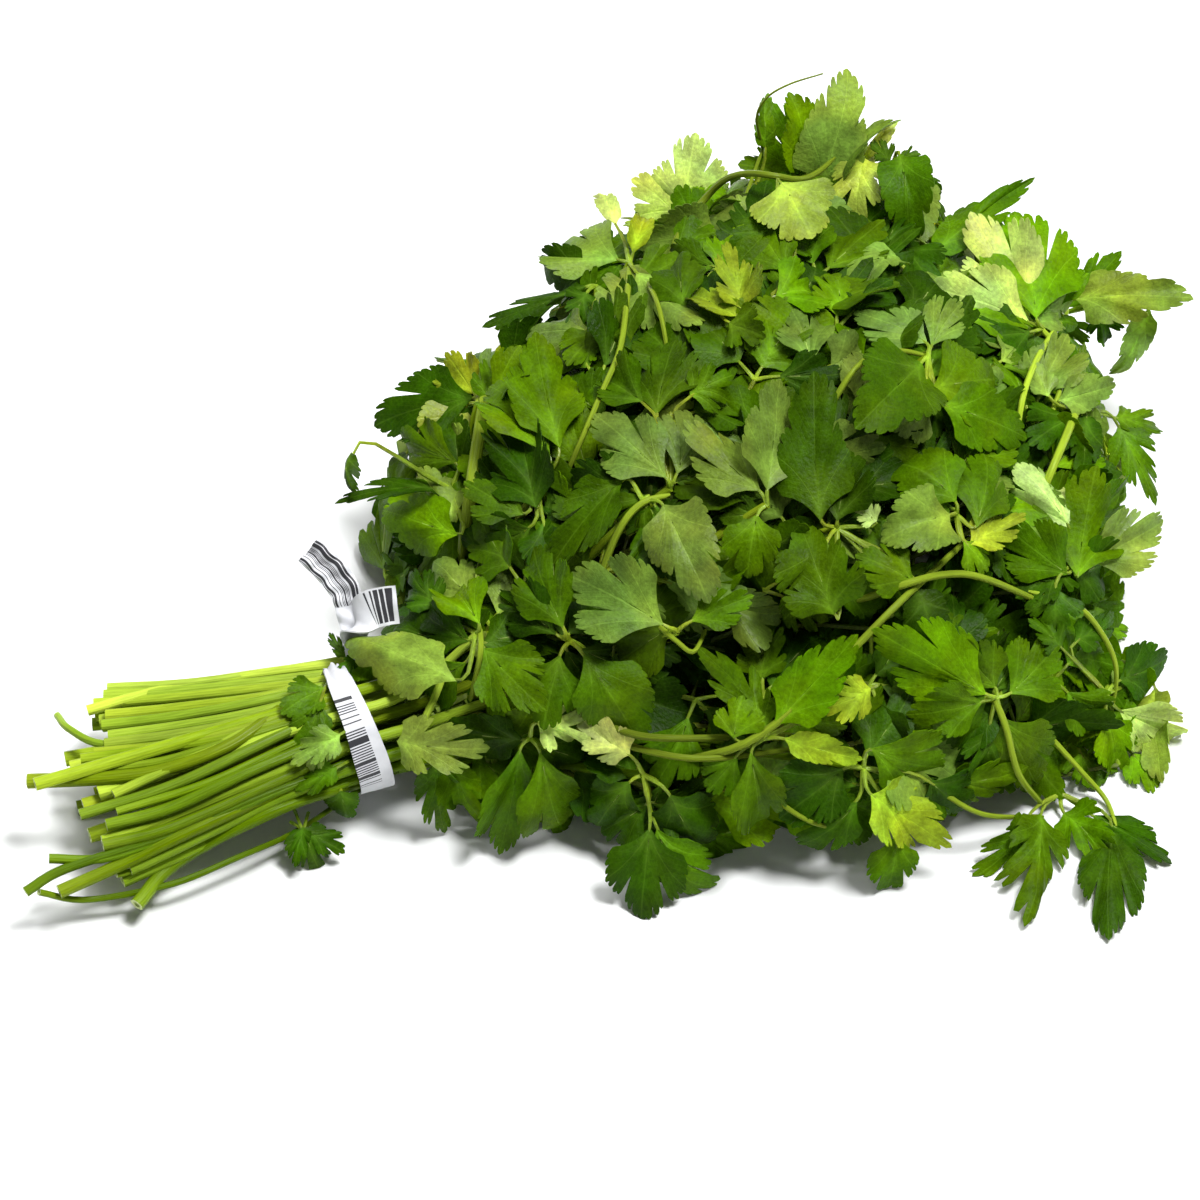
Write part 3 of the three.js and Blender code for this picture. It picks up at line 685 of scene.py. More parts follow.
@dataclass(frozen=True)
class Outline:
    """The sizes of one cut, as shares of the leaflet's length."""

    half_angle: float  # degrees from the midrib to the side margin
    rib: float  # how much of the midrib the lobes spring from
    lobes: int
    sinus: float  # depth between lobes
    second: float  # depth of the two clefts in a lobe
    tooth: float  # depth between teeth
    shoulder: float  # how much shorter the side margins are
    apart: float  # how far lobes draw in from each other
    bulge: float  # how far a lobe's middle stands out from its ends

    def draw(self, teeth: int, rng: np.random.Generator) -> tuple[np.ndarray, np.ndarray, np.ndarray]:
        """Draw the outline, four columns a tooth.

        Args:
            teeth: How many teeth.
            rng: Where the irregularity comes from.

        Returns:
            Turn from the midrib, from -1 to 1, and the margin's and the inner blade's radius, of
            each column.
        """
        depth = self.tooth * rng.uniform(0.7, 1.35, teeth + 1)
        clefts = (0.34, 0.66) if teeth > 3.5 * self.lobes else (0.5,)
        for lobe in range(self.lobes):
            for cleft in clefts:
                k = round((lobe + cleft) * teeth / self.lobes)
                depth[k] = max(depth[k], self.second * rng.uniform(0.5, 1.25))
        for edge in range(1, self.lobes):
            depth[round(edge * teeth / self.lobes)] = self.sinus * rng.uniform(0.7, 1.2)
        size = rng.uniform(0.84, 1.05, self.lobes)
        size[self.lobes // 2] = 1.0
        turns, radii = [], []
        for k in range(teeth):
            near, far = (0.14 + 0.16 * min(depth[edge] / 0.5, 1) for edge in (k, k + 1))
            turns += [k, k + near, k + 0.5 + rng.uniform(-0.06, 0.06), k + 1 - far]
            rise, fall = (1 - 0.22 * self.tooth - 0.10 * depth[edge] for edge in (k, k + 1))
            radii += [1 - depth[k], rise, 1.0, fall]
        turn = np.array(turns + [teeth]) / teeth
        radius = np.array(radii + [1 - depth[teeth]])
        body = np.full(len(radius), 0.97 - 1.2 * self.tooth)
        for k in np.flatnonzero(depth > 1.5 * self.tooth):
            body[4 * k] = min(body[4 * k], radius[4 * k] - 0.03)
            for beside in (4 * k - 1, 4 * k + 1):
                if 0 <= beside < len(body):
                    body[beside] = (body[beside] + body[4 * k]) / 2
        lobe = np.clip((turn * self.lobes).astype(int), 0, self.lobes - 1)
        local = 2 * (turn * self.lobes - lobe) - 1
        within = (1.5 * (local + 1)) % 1 * 2 - 1
        swell = (1 - self.bulge * local**2) * (1 - 0.3 * self.bulge * within**2) * size[lobe]
        boundary = np.abs(np.abs(local) - 1) < 1e-6
        drawn_in = (lobe + 0.5 + 0.5 * local * (1 - self.apart)) / self.lobes
        turn = 2 * np.where(boundary, turn, drawn_in) - 1
        swell = swell * (1 - self.shoulder * np.abs(turn) ** 1.7)
        return turn, radius * swell, body * swell


OUTLINES = {
    Cut.FAN: Outline(62, 0.12, 3, 0.38, 0.16, 0.066, 0.12, 0.06, 0.12),
    Cut.ROUND: Outline(68, 0.24, 3, 0.20, 0.11, 0.062, 0.16, 0.03, 0.08),
    Cut.NARROW: Outline(60, 0.45, 3, 0.26, 0.14, 0.080, 0.40, 0.05, 0.12),
    Cut.FROND: Outline(70, 0.34, 5, 0.46, 0.17, 0.085, 0.28, 0.12, 0.14),
}


@dataclass(frozen=True)
class Lie:
    """How one leaflet lies: where it starts and ends, which way it faces and how it is bent."""

    base: np.ndarray
    tip: np.ndarray
    width: float
    facing: np.ndarray
    roll: float = 0.0  # degrees about its length
    curl: float = 25.0  # degrees it bends over, base to tip
    fold: float = 8.0  # degrees each half rises from the midrib
    twist: float = 0.0  # degrees from base to tip


class PlateForm:
    """A thin plate modelled once as columns and rings, and wrapped over a surface for each copy."""

    def __init__(self, columns: int, rings: int) -> None:
        """Model the plate.

        Args:
            columns: Faces along its first direction.
            rings: Faces along its second direction.
        """
        self.columns = columns
        self.rings = rings
        bpy.ops.object.select_all(action="DESELECT")
        bpy.ops.mesh.primitive_grid_add(x_subdivisions=columns, y_subdivisions=rings, size=2)
        bpy.ops.object.mode_set(mode="EDIT")
        bpy.ops.mesh.select_all(action="SELECT")
        bpy.ops.mesh.solidify(thickness=-0.1)
        bpy.ops.mesh.normals_make_consistent(inside=False)
        bpy.ops.object.mode_set(mode="OBJECT")
        points, self.faces = read_master(bpy.context.object)
        self.column = np.rint((points[:, 0] + 1) / 2 * columns).astype(int)
        self.ring = np.rint((points[:, 1] + 1) / 2 * rings).astype(int)
        middle = (points[:, 2].min() + points[:, 2].max()) / 2
        self.layer = np.where(points[:, 2] > middle, 1.0, -1.0)
        self.finish = [np.where((self.layer[group] < 0).all(axis=1), 1, 0) for group in self.faces]

    def wrap(self, grid: np.ndarray, thickness: float, pattern: np.ndarray, tone: np.ndarray) -> Shell:
        """Wrap the plate over a surface.

        Args:
            grid: A point for each column and ring.
            thickness: Of the plate.
            pattern: Two numbers for each column and ring, for the UV map.
            tone: Linear colour for each column and ring.

        Returns:
            The plate as a closed shell.
        """
        out = unit(np.cross(np.gradient(grid, axis=0), np.gradient(grid, axis=1)))
        half = thickness / 2 * self.layer[:, None]
        points = grid[self.column, self.ring] + half * out[self.column, self.ring]
        points[:, 2] = np.maximum(points[:, 2], 0.05)
        colours = np.ones((len(points), 4))
        colours[:, : tone.shape[-1]] = tone[self.column, self.ring]
        return Shell(points, self.faces, self.finish, pattern[self.column, self.ring], colours)


class LeafletForm(PlateForm):
    """A leaflet: a plate whose columns run out to the teeth of its margin."""

    thickness = 0.26
    overlap = 0.006  # how far the halves cross at the midrib, as a share of the length
    middle_lobe = 0.80  # below 1 the middle lobe is wider than the others
    lowest = 0.4  # mm above the surface that the blade keeps

    def __init__(self, teeth: int, rings: int) -> None:
        """Model the plate.

        Args:
            teeth: Teeth round the margin, with four columns each.
            rings: Rings from the base to the margin.
        """
        super().__init__(4 * teeth, rings)
        self.teeth = teeth

    def lay(self, lie: Lie, cut: Cut, colour: np.ndarray, rng: np.random.Generator) -> Shell:
        """Lay out one leaflet.

        Args:
            lie: How it lies.
            cut: How its outline is cut.
            colour: Linear red, green and blue of its face, and its sheen.
            rng: Where its irregularity comes from.

        Returns:
            The leaflet as a closed shell.
        """
        outline = OUTLINES[cut]
        turn, margin, body = outline.draw(self.teeth, rng)
        turn = -turn
        share = np.append(np.linspace(0, 1, self.rings) ** 0.9, 1.0)
        reach = np.hstack([body[:, None] * share[None, :-1], margin[:, None]])
        spread = math.radians(outline.half_angle * rng.uniform(0.88, 1.12))
        half = np.sign(turn)[:, None]
        angle = half * np.abs(turn)[:, None] ** self.middle_lobe * spread
        angle = angle * (0.74 + 0.26 * share[None, :])
        s = outline.rib * (1 - np.abs(turn))[:, None] + (1 - outline.rib) * reach * np.cos(angle)
        t = reach * np.sin(angle) - self.overlap * half * (1 - share[None, :]) ** 4
        length = float(np.linalg.norm(lie.tip - lie.base))
        s = s / s.max()
        t = t / (t.max() - t.min())
        n = self.relief(turn, reach, outline, rng)

        fold = math.radians(lie.fold)
        soft = np.sqrt(t**2 + 0.01) - 0.1
        s, n = s * length, n * length + soft * lie.width * math.sin(fold)
        t = t * lie.width * math.cos(fold)
        twist = math.radians(lie.twist) * s / length
        t, n = t * np.cos(twist) - n * np.sin(twist), t * np.sin(twist) + n * np.cos(twist)
        curl = math.radians(max(abs(lie.curl), 1.0)) * (1 if lie.curl >= 0 else -1)
        bend = curl / length
        sine, cosine = np.sin(bend * s), np.cos(bend * s)
        s, n = sine / bend + n * sine, n * cosine - (1 - cosine) / bend
        sine, cosine = math.sin(curl / 2), math.cos(curl / 2)
        chord = 2 * sine / curl
        s, n = (s * cosine - n * sine) / chord, (s * sine + n * cosine) / chord

        along = unit(lie.tip - lie.base)
        side = turned(unit(np.cross(lie.facing, along)), along, lie.roll)
        normal = np.cross(along, side)
        grid = lie.base + s[..., None] * along + t[..., None] * side + n[..., None] * normal
        grid[..., 2] = np.maximum(grid[..., 2], self.lowest)
        vein = np.broadcast_to(turn[:, None] * outline.lobes / 2, reach.shape)
        pattern = np.stack([vein, reach * length], axis=2)
        tone = colour * (1.10 - 0.20 * reach)[..., None]
        return self.wrap(grid, self.thickness, pattern, tone)

    def relief(
        self, turn: np.ndarray, reach: np.ndarray, outline: Outline, rng: np.random.Generator
    ) -> np.ndarray:
        """How far each point stands off the flat, as a share of the length.

        Args:
            turn: Turn of each column from the midrib.
            reach: Radius of each point, as a share of the length.
            outline: The leaflet's cut.
            rng: Where the irregularity comes from.

        Returns:
            One row a column and one column a ring.
        """
        rise = np.zeros(reach.shape)
        for lobe in range(outline.lobes):
            centre = (2 * lobe + 1) / outline.lobes - 1
            spread = np.exp(-(((turn - centre) * outline.lobes / 1.3) ** 2))
            rise += rng.normal(-0.06, 0.19) * spread[:, None] * reach**1.7
        wave = np.sin(turn * rng.uniform(6, 10) + rng.uniform(0, 6))
        rise += rng.uniform(0.03, 0.075) * wave[:, None] * reach**2.2
        swing = reach * rng.uniform(4, 7) + turn[:, None] * rng.uniform(-3, 3)
        swing = np.sin(swing + rng.uniform(0, 6))
        rise += rng.uniform(0.01, 0.03) * swing * reach
        rise -= rng.uniform(0.0, 0.07) * reach**4
        return rise


class TubeForm:
    """A tube modelled once with a cut end, and laid along a line for each copy."""

    lowest = 0.1  # mm above the surface that the tube keeps

    def __init__(self, sides: int, steps: int, hollow: bool) -> None:
        """Model the tube one unit long.

        Args:
            sides: Sides of its section.
            steps: Rings along it.
            hollow: Whether the first end is cut open.
        """
        bpy.ops.object.select_all(action="DESELECT")
        bpy.ops.mesh.primitive_cylinder_add(vertices=sides, radius=1, depth=1, location=(0, 0, 0.5))
        bpy.ops.object.transform_apply(location=True)
        piece = bpy.context.object
        height = [corner.co.z for corner in piece.data.vertices]
        bpy.ops.object.mode_set(mode="EDIT")
        pick(piece, "EDGE", lambda edge: len({round(height[k]) for k in edge.vertices}) > 1)
        bpy.ops.mesh.subdivide(number_cuts=steps - 1)
        if hollow:
            pick(piece, "FACE", lambda face: face.normal.z < -0.9)
            for width in (0.14, 0.30, 0.12):
                bpy.ops.mesh.inset(thickness=width)
            bpy.ops.transform.translate(value=(0, 0, 0.012))
        bpy.ops.object.mode_set(mode="OBJECT")
        points, self.faces = read_master(piece)
        self.share = np.clip(points[:, 2], 0, 1)
        self.angle = np.arctan2(points[:, 1], points[:, 0])
        self.radius = np.hypot(points[:, 0], points[:, 1])
        on_cut = (self.share < 0.0125) & (self.radius < 1.01)
        self.finish = [np.where(on_cut[group].all(axis=1), 1, 0) for group in self.faces]

    def sweep(
        self, line: np.ndarray, radii: np.ndarray, colours: np.ndarray,
        ridge: float = 0.0, ridges: int = 5, flatten: float = 1.0,
    ) -> Shell:
        """Lay the tube along a line.

        Args:
            line: Points from end to end.
            radii: Radius at each point.
            colours: Linear colour at each point.
            ridge: Height of its lengthwise ridges, as a share of the radius.
            ridges: How many ridges.
            flatten: Share of the radius in the second direction.

        Returns:
            The tube as a closed shell.
        """
        tangents = unit(np.gradient(line, axis=0))
        side = unit(np.cross(np.array([0.03, -0.05, 1.0]), tangents[0]))
        sides = []
        for tangent in tangents:
            side = unit(side - tangent * float(side @ tangent))
            sides.append(side)
        where, knots = self.share * (len(line) - 1), np.arange(len(line))
        middle, sides, ups, colours = (
            between(where, knots, rows)
            for rows in (line, np.array(sides), np.cross(tangents, sides), colours)
        )
        radius = np.interp(where, knots, radii) * self.radius
        radius = radius * (1 + ridge * np.cos(self.angle * ridges))
        x = (radius * np.cos(self.angle))[:, None]
        y = (radius * np.sin(self.angle) * flatten)[:, None]
        points = middle + sides * x + ups * y
        points[:, 2] = np.maximum(points[:, 2], self.lowest)
        around = self.angle * float(np.mean(radii))
        pattern = np.stack([around, np.interp(where, knots, lengths(line))], axis=1)
        tone = np.hstack([colours, np.ones((len(points), 1))])
        return Shell(points, self.faces, self.finish, pattern, tone)


# ---- leaves --------------------------------------------------------------------------------------

FAN, ROUND, NARROW, FROND = Cut
PALE, GREY, OLIVE, YELLOW, VIVID, MID, DARK = Tone


@dataclass(frozen=True)
class Leaf:
    """A compound leaf: its crown on the sheet and its leaflets.

    A leaflet is base across, base up, tip across, tip up, width, roll, sink, cut, tone, then curl
    and fold in degrees and how far it may lean, where they aren't the usual ones.
    """

    name: str
    slot: str
    crown: tuple[float, float, float]
    rows: tuple[tuple, ...]
    toward: float = 0.0  # how much more its blades face along the sheet's facing
    lean: float = 0.75  # most its blades lean off the sheet, as a share of their length


LEAVES = (
    Leaf("top_spray", "leaf_pale", (113, 158, 8), (
        (120, 177, 119, 192, 6, 10, 0, NARROW, MID, 40, 30),
        (118, 152, 102, 156, 14, 0, 2, ROUND, GREY)), 1.0, 0.4),
    Leaf("rolled", "leaf_green", (129, 167, -6), (
        (130, 168, 129, 192, 18, 24, -3, ROUND, VIVID, 50, 40),
        (137, 166, 147, 197, 23, -10, -5, ROUND, GREY, 50, 44),
        (141, 167, 156, 188, 13, -30, -4, FAN, GREY, 60, 30),
        (142, 166, 158, 182, 6, 0, -3, NARROW, PALE, 20, 20),
        (150, 174, 147, 156, 15, 20, -4, FROND, OLIVE, 30, 10, 1.0),
        (139, 165, 136, 154, 13, 0, -3, ROUND, PALE))
        , 2.0, 0.45),
    Leaf("pale_top", "leaf_pale", (92, 156, 6), (
        (95, 158, 97, 178, 19, 0, 0, FAN, PALE), (92, 158, 80, 167, 14, 0, 0, FAN, PALE),
        (106, 150, 82, 148, 16, -15, 1, ROUND, GREY, 30, 30),
        (98, 157, 106, 166, 9, 0, 3, FAN, VIVID)), 0.8, 0.5),
    Leaf("spike", "leaf_green", (78, 141, -1), (
        (75, 142, 53, 148, 20, 0, -1, FAN, GREY), (79, 144, 84, 160, 8, 30, 0, NARROW, YELLOW, 20, 45),
        (80, 138, 97, 118, 20, 0, -1, FAN, GREY), (74, 153, 67, 165, 5, 20, 0, NARROW, PALE))),
    Leaf("lobed_left", "leaf_dark", (68, 134, 8), (
        (66, 137, 51, 139, 12, 0, 3, ROUND, DARK), (65, 134, 40, 120, 12, 15, 3, FROND, DARK),
        (66, 120, 46, 121, 13, 0, 2, FAN, GREY), (65, 132, 60, 122, 8, 0, 3, FROND, DARK),
        (68, 120, 60, 110, 12, 0, 3, FAN, MID), (70, 118, 77, 110, 12, 0, 4, FAN, MID))),
    Leaf("folded_top", "leaf_bright", (106, 128, 7), (
        (112, 126, 108, 144, 14, 20, 0, FROND, YELLOW, 30, 40),
        (110, 124, 96, 131, 10, 0, 1, NARROW, YELLOW, 30, 35), (104, 140, 86, 140, 12, 0, 5, FAN, MID),
        (108, 122, 118, 118, 12, 0, 2, FAN, MID))),
    Leaf("vivid_crown", "leaf_green", (128, 136, 8), (
        (113, 146, 134, 146, 16, 0, 0, ROUND, MID),
        (124.5, 165.5, 132.5, 150, 21, 0, -52, ROUND, OLIVE, 15, 6, 0.5),
        (122, 130, 137, 134, 18, 0, 2, FAN, VIVID), (143, 108, 106, 124, 22, -10, 2, ROUND, VIVID),
        (126, 138, 118, 150, 12, 0, 4, FAN, MID))),
    Leaf("back_fronds", "leaf_dark", (164, 143, 9), (
        (160, 143, 141, 138, 12, 0, 2, FROND, GREY), (160, 138, 152, 126, 13, 0, 4, FROND, DARK),
        (169, 143, 193, 163, 9, 20, 2, NARROW, MID, 30, 25), (162, 146, 170, 134, 14, 0, 4, FAN, DARK),
        (158, 150, 147, 154, 11, 0, 5, FAN, DARK))),
    Leaf("drooping_back", "leaf_dark", (158, 168, 4), (
        (161, 175, 165, 148, 14, 20, -1, ROUND, MID, 60, 26, 1.2),
        (158, 173, 153, 178, 8, 0, 0, FROND, DARK), (155, 165, 146, 157, 13, 0, 1, FROND, YELLOW),
        (161, 173, 166, 176, 6, 0, 1, FROND, DARK),
        (166, 168, 167, 148, 12, 60, 0, ROUND, GREY)), 1.0, 0.5),
    Leaf("bright_fan", "leaf_bright", (204, 121, 1), (
        (202, 124, 197, 156, 26, 0, -6, FAN, VIVID, 20, 6),
        (200, 123, 173, 134, 20, 0, 0, FAN, PALE, 20, 4), (205, 125, 211, 143, 13, 0, 0, FAN, VIVID),
        (200, 124, 184, 151, 20, 0, 0, FAN, PALE, 20, 4, 0.3),
        (200, 120, 182, 117, 16, 0, 3, FAN, DARK)), 0.8, 0.5),
    Leaf("far_right", "leaf_pale", (212, 127, 0), (
        (215, 131, 246, 132, 14, 0, -2, ROUND, GREY, 25, 12), (213, 125, 213, 116, 11, 0, 1, FROND, MID),
        (238, 128, 229, 106, 9, 0, 0, NARROW, GREY, 30, 35), (222, 127, 225, 118, 11, 0, 1, FROND, DARK),
        (211, 126, 206, 126, 7, 0, 1, FROND, DARK)), 1.0, 0.5),
    Leaf("arched", "leaf_pale", (168, 112, -1), (
        (168, 116, 148, 127, 14, 0, -1, FAN, GREY), (169, 115, 176, 125, 11, 0, 0, FAN, GREY),
        (166, 110, 147, 92, 22, 0, -1, ROUND, MID), (169, 102, 191, 106, 22, 0, -2, ROUND, VIVID),
        (172, 97, 199, 89, 15, 0, -1, ROUND, VIVID), (168, 96, 158, 90, 12, 0, 4, ROUND, GREY))),
    Leaf("hanging_right", "leaf_dark", (214, 96, 5), (
        (217, 95, 215, 75, 9, 10, 1, NARROW, DARK), (226, 94, 239, 91, 8, 0, 2, FROND, MID),
        (227, 92, 236, 70, 12, 0, 2, FROND, MID), (208, 99, 222, 103, 10, 0, 2, ROUND, GREY),
        (212, 94, 200, 86, 14, 0, 3, FAN, DARK), (205, 100, 200, 108, 8, 0, 2, FAN, GREY))),
    Leaf("right_cluster", "leaf_green", (212, 50, 3), (
        (213, 45, 216, 72, 24, 0, -1, FAN, MID), (216, 50, 233, 60, 17, 0, 1, FAN, GREY),
        (211, 60, 197, 79, 13, 0, 1, ROUND, PALE), (215, 62, 230, 74, 12, 0, 2, FAN, MID),
        (210, 46, 194, 58, 16, 0, 2, FAN, MID), (206, 42, 206, 30, 14, 0, 3, FAN, DARK))),
    Leaf("middle_fans", "leaf_green", (176, 64, 6), (
        (182, 60, 187, 84, 17, 0, 1, FAN, MID), (176, 68, 159, 84, 17, 0, 1, ROUND, MID),
        (174, 64, 155, 57, 17, 0, 0, ROUND, GREY), (180, 55, 195, 63, 11, 0, 2, FROND, YELLOW),
        (178, 56, 186, 48, 10, 0, 2, FAN, VIVID))),
    Leaf("long_dark", "leaf_dark", (140, 60, 7), (
        (135, 62, 131, 96, 18, 0, 2, ROUND, MID), (137, 56, 128, 34, 18, 0, 2, FAN, MID),
        (163, 44, 147, 52, 14, 0, 1, FAN, VIVID), (140, 62, 144, 82, 14, 0, 3, FAN, DARK),
        (164, 42, 170, 22, 12, 0, 3, NARROW, DARK), (139, 34, 130, 60, 20, 0, 1, FROND, MID),
        (152, 62, 146, 66, 7, 0, 2, FROND, PALE))),
    Leaf("grey_middle", "leaf_pale", (119, 67, 2), (
        (119, 71, 122, 101, 20, 0, -1, ROUND, GREY), (117, 71, 97, 86, 15, 0, 0, FAN, GREY),
        (116, 64, 113, 46, 14, 0, 2, FAN, VIVID))),
    Leaf("grey_upper", "leaf_pale", (90, 72, 4), (
        (89, 75, 71, 91, 17, 0, 0, FAN, GREY), (92, 76, 98, 96, 15, 0, 1, FAN, GREY),
        (86, 94, 91, 115, 19, 0, 4, FAN, MID), (82, 98, 70, 106, 13, 0, 4, FAN, MID),
        (96, 100, 108, 106, 12, 0, 3, FROND, VIVID))),
    Leaf("curved_middle", "leaf_green", (82, 68, 2), (
        (88, 67, 99, 41, 16, 0, -2, ROUND, OLIVE, 75, 14), (76, 75, 57, 52, 18, 0, -1, FAN, MID, 30, 35),
        (84, 70, 76, 60, 12, 0, 3, FAN, MID), (88, 58, 90, 46, 14, 0, 4, FAN, DARK))),
    Leaf("pale_fan", "leaf_pale", (92, 29, 3), (
        (88, 31, 64, 44, 22, 0, -2, FAN, GREY, 50, 16), (96, 32, 113, 39, 10, 0, 1, FAN, VIVID))),
    Leaf("olive_middle", "leaf_green", (60, 26, 6), (
        (58, 30, 50, 52, 16, 0, 0, FAN, MID), (57, 22, 52, 3, 14, 0, 1, FAN, MID),
        (64, 22, 81, -5, 18, 0, 0, ROUND, MID), (56, 28, 42, 42, 14, 0, 3, FAN, DARK))),
    Leaf("near_tie", "leaf_pale", (32, 28, 3), (
        (33, 31, 22, 47, 13, 0, -1, FAN, VIVID), (26, 14, -3, 24, 18, 12, -4, ROUND, OLIVE, 60, -26),
        (34, 24, 50, 8, 18, 0, 1, FAN, MID), (30, 26, 14, 34, 14, 0, 3, FAN, DARK),
        (20, 36, 12, 46, 11, 0, 3, FROND, DARK))),
    Leaf("thick_stalk", "leaf_dark", (32, 98, 0), (
        (31, 100, 8, 93, 19, 0, 1, FAN, DARK), (28, 97, 19, 80, 17, 0, 2, ROUND, OLIVE),
        (36, 98, 54, 110, 18, 0, 0, FAN, VIVID), (31, 101, 24, 112, 12, 0, 1, FAN, YELLOW),
        (33, 102, 42, 108, 10, 0, 1, FAN, VIVID))),
    Leaf("left_droop", "leaf_green", (24, 72, 4), (
        (26, 80, 8, 88, 13, 0, 1, FAN, MID), (20, 72, -7, 69, 9, 0, 1, FROND, DARK),
        (26, 58, 4, 66, 14, 0, 1, ROUND, VIVID), (-6, 83, -7, 72, 4, 0, 0, NARROW, DARK),
        (25, 62, 16, 76, 13, 0, 2, ROUND, GREY))),
    Leaf("dark_middle", "leaf_dark", (50, 72, 7), (
        (54, 82, 37, 103, 18, 0, 1, FAN, VIVID), (50, 66, 46, 92, 20, 0, 3, FROND, DARK),
        (46, 64, 34, 70, 14, 0, 2, FAN, MID), (57, 84, 52, 112, 16, 0, 0, ROUND, VIVID),
        (48, 60, 36, 54, 14, 0, 4, FAN, DARK), (52, 62, 56, 44, 14, 0, 5, FAN, DARK))),
    Leaf("front_of_tie", "leaf_pale", (12, -5, 1), (
        (8, -4, 34, -6, 14, 0, -1, FROND, GREY), (20, -10, 22, -31, 12, 0, 1, FROND, MID),
        (24, -10, 33, -31, 10, 0, 1, FROND, MID))),
    Leaf("front_cluster", "leaf_green", (48, -3, 4), (
        (45, -6, 40, -33, 16, 0, 0, FAN, MID), (51, -7, 57, -35, 16, 0, 0, FAN, MID),
        (50, 2, 66, -2, 10, 0, 2, FROND, PALE))),
    Leaf("front_hanging", "leaf_dark", (82, -14, 5), (
        (84, -30, 81, -56, 19, 0, -1, FAN, DARK, 30, 6), (90, -20, 100, -40, 15, 0, 1, ROUND, DARK),
        (78, -8, 63, 2, 11, 0, 0, FROND, PALE), (86, -30, 98, -54, 13, 0, 1, FAN, MID),
        (78, -16, 68, -30, 14, 0, 3, ROUND, DARK))),
    Leaf("front_bright", "leaf_bright", (118, -3, 3), (
        (109, -3, 111, 9, 12, 0, 0, FAN, VIVID), (114, -7, 119, -33, 14, 0, 0, FAN, MID),
        (121, 1, 143, 25, 14, 0, -1, ROUND, VIVID), (124, -3, 146, -9, 8, 0, 0, NARROW, YELLOW),
        (150, 12, 136, 6, 11, 0, -1, FROND, YELLOW), (110, -8, 102, -18, 11, 0, 2, FAN, MID))),
    Leaf("front_right", "leaf_bright", (148, -12, 5), (
        (150, -6, 171, -14, 18, 0, 1, FAN, MID), (150, -20, 171, -33, 16, 0, -1, FROND, YELLOW),
        (146, -22, 130, -38, 14, 0, 1, FAN, DARK), (142, -12, 124, -26, 18, 0, 3, FAN, DARK),
        (158, -32, 157, -51, 12, 0, 1, FAN, MID), (168, -16, 180, -26, 18, 0, 3, FAN, DARK))),
    Leaf("right_middle", "leaf_green", (188, 9, 2), (
        (185, 10, 154, 28, 20, 0, 0, FAN, VIVID), (192, 10, 206, 24, 18, 0, 1, FAN, MID),
        (190, 3, 201, -18, 18, 0, 1, FAN, MID), (184, 8, 164, 3, 15, 0, 2, FAN, MID),
        (188, 12, 176, 26, 14, 0, 1, FAN, MID), (186, 0, 184, -16, 14, 0, 4, FROND, DARK))),
    Leaf("hanging_front", "leaf_dark", (208, -20, 4), (
        (202, -26, 196, -56, 15, 0, 0, FROND, MID), (209, -26, 224, -42, 12, 0, 0, FROND, VIVID),
        (224, -30, 222, -60, 16, 0, 0, FAN, DARK), (198, -27, 186, -45, 12, 0, 0, FROND, MID))),
    Leaf("right_edge", "leaf_green", (222, 10, 3), (
        (226, 5, 245, -4, 15, 0, 0, FAN, PALE), (222, 4, 226, -14, 13, 0, 0, FAN, VIVID),
        (226, 14, 240, 20, 14, 0, 3, ROUND, DARK), (230, -8, 238, -17, 10, 0, 0, FAN, VIVID),
        (238, 12, 240, -14, 10, 60, 1, ROUND, GREY), (212, 26, 226, 33, 9, 0, 2, FROND, DARK),
        (208, 24, 200, 32, 9, 0, 2, FROND, DARK))),
)

# leaves behind and below the heap: a crown and leaflets as x, y, z from the tie's foot
FAR_LEAVES = (
    Leaf("under", "leaf_dark", (122, 64, 6), (
        (124, 54, 0.5, 146, 22, 0.5, 22, DARK), (132, 70, 0.5, 168, 84, 0.5, 20, DARK),
        (112, 70, 0.5, 84, 96, 0.5, 20, DARK))),
    Leaf("back_left", "leaf_green", (46, 146, 20), (
        (38, 152, 16, 18, 168, 0.5, 18, MID), (48, 158, 18, 52, 186, 0.5, 20, VIVID),
        (56, 152, 20, 82, 184, 3, 20, MID))),
    Leaf("back_right", "leaf_green", (182, 168, 24), (
        (176, 176, 22, 158, 202, 3, 20, VIVID), (186, 178, 20, 194, 206, 0.5, 20, MID),
        (192, 170, 20, 222, 182, 0.5, 20, MID))),
)

BRANCHES = {
    "lobed_left": "spike",
    "top_spray": "rolled",
    "vivid_crown": "folded_top",
    "drooping_back": "back_fronds",
    "hanging_right": "far_right",
    "long_dark": "grey_middle",
    "curved_middle": "grey_upper",
    "left_droop": "thick_stalk",
    "hanging_front": "right_middle",
    "front_right": "front_bright",
    "front_of_tie": "near_tie",
    "front_cluster": "front_hanging",
    "olive_middle": "pale_fan",
    "back_left": "dark_middle",
}


# painted light and shade: a gain on the blades' colour by mm along X, darker across the middle of the
# bunch and lighter at its right side
PAINTED_LIGHT_BY_X = ((30.0, 80.0, 150.0, 205.0), (0.88, 0.62, 0.66, 1.12))  # of the blades by mm along X
# how fully that painted light and shade applies, by mm up the sheet
PAINTED_LIGHT_WEIGHT = ((-5, 25, 115, 150), (0.0, 1.0, 1.0, 0.0))  # how far inside the bunch, by mm up the sheet
SHEENS = dict(zip(Tone, (0.28, 0.24, 0.30, 0.12, 0.08, 0.10, 0.10)))  # wax on the blade
# painted shade: a leaflet behind another takes the darker tone listed here
SHADE_TONE_BEHIND = dict(zip(Tone, (GREY, MID, MID, VIVID, MID, DARK, DARK)))  # of the leaflet behind another


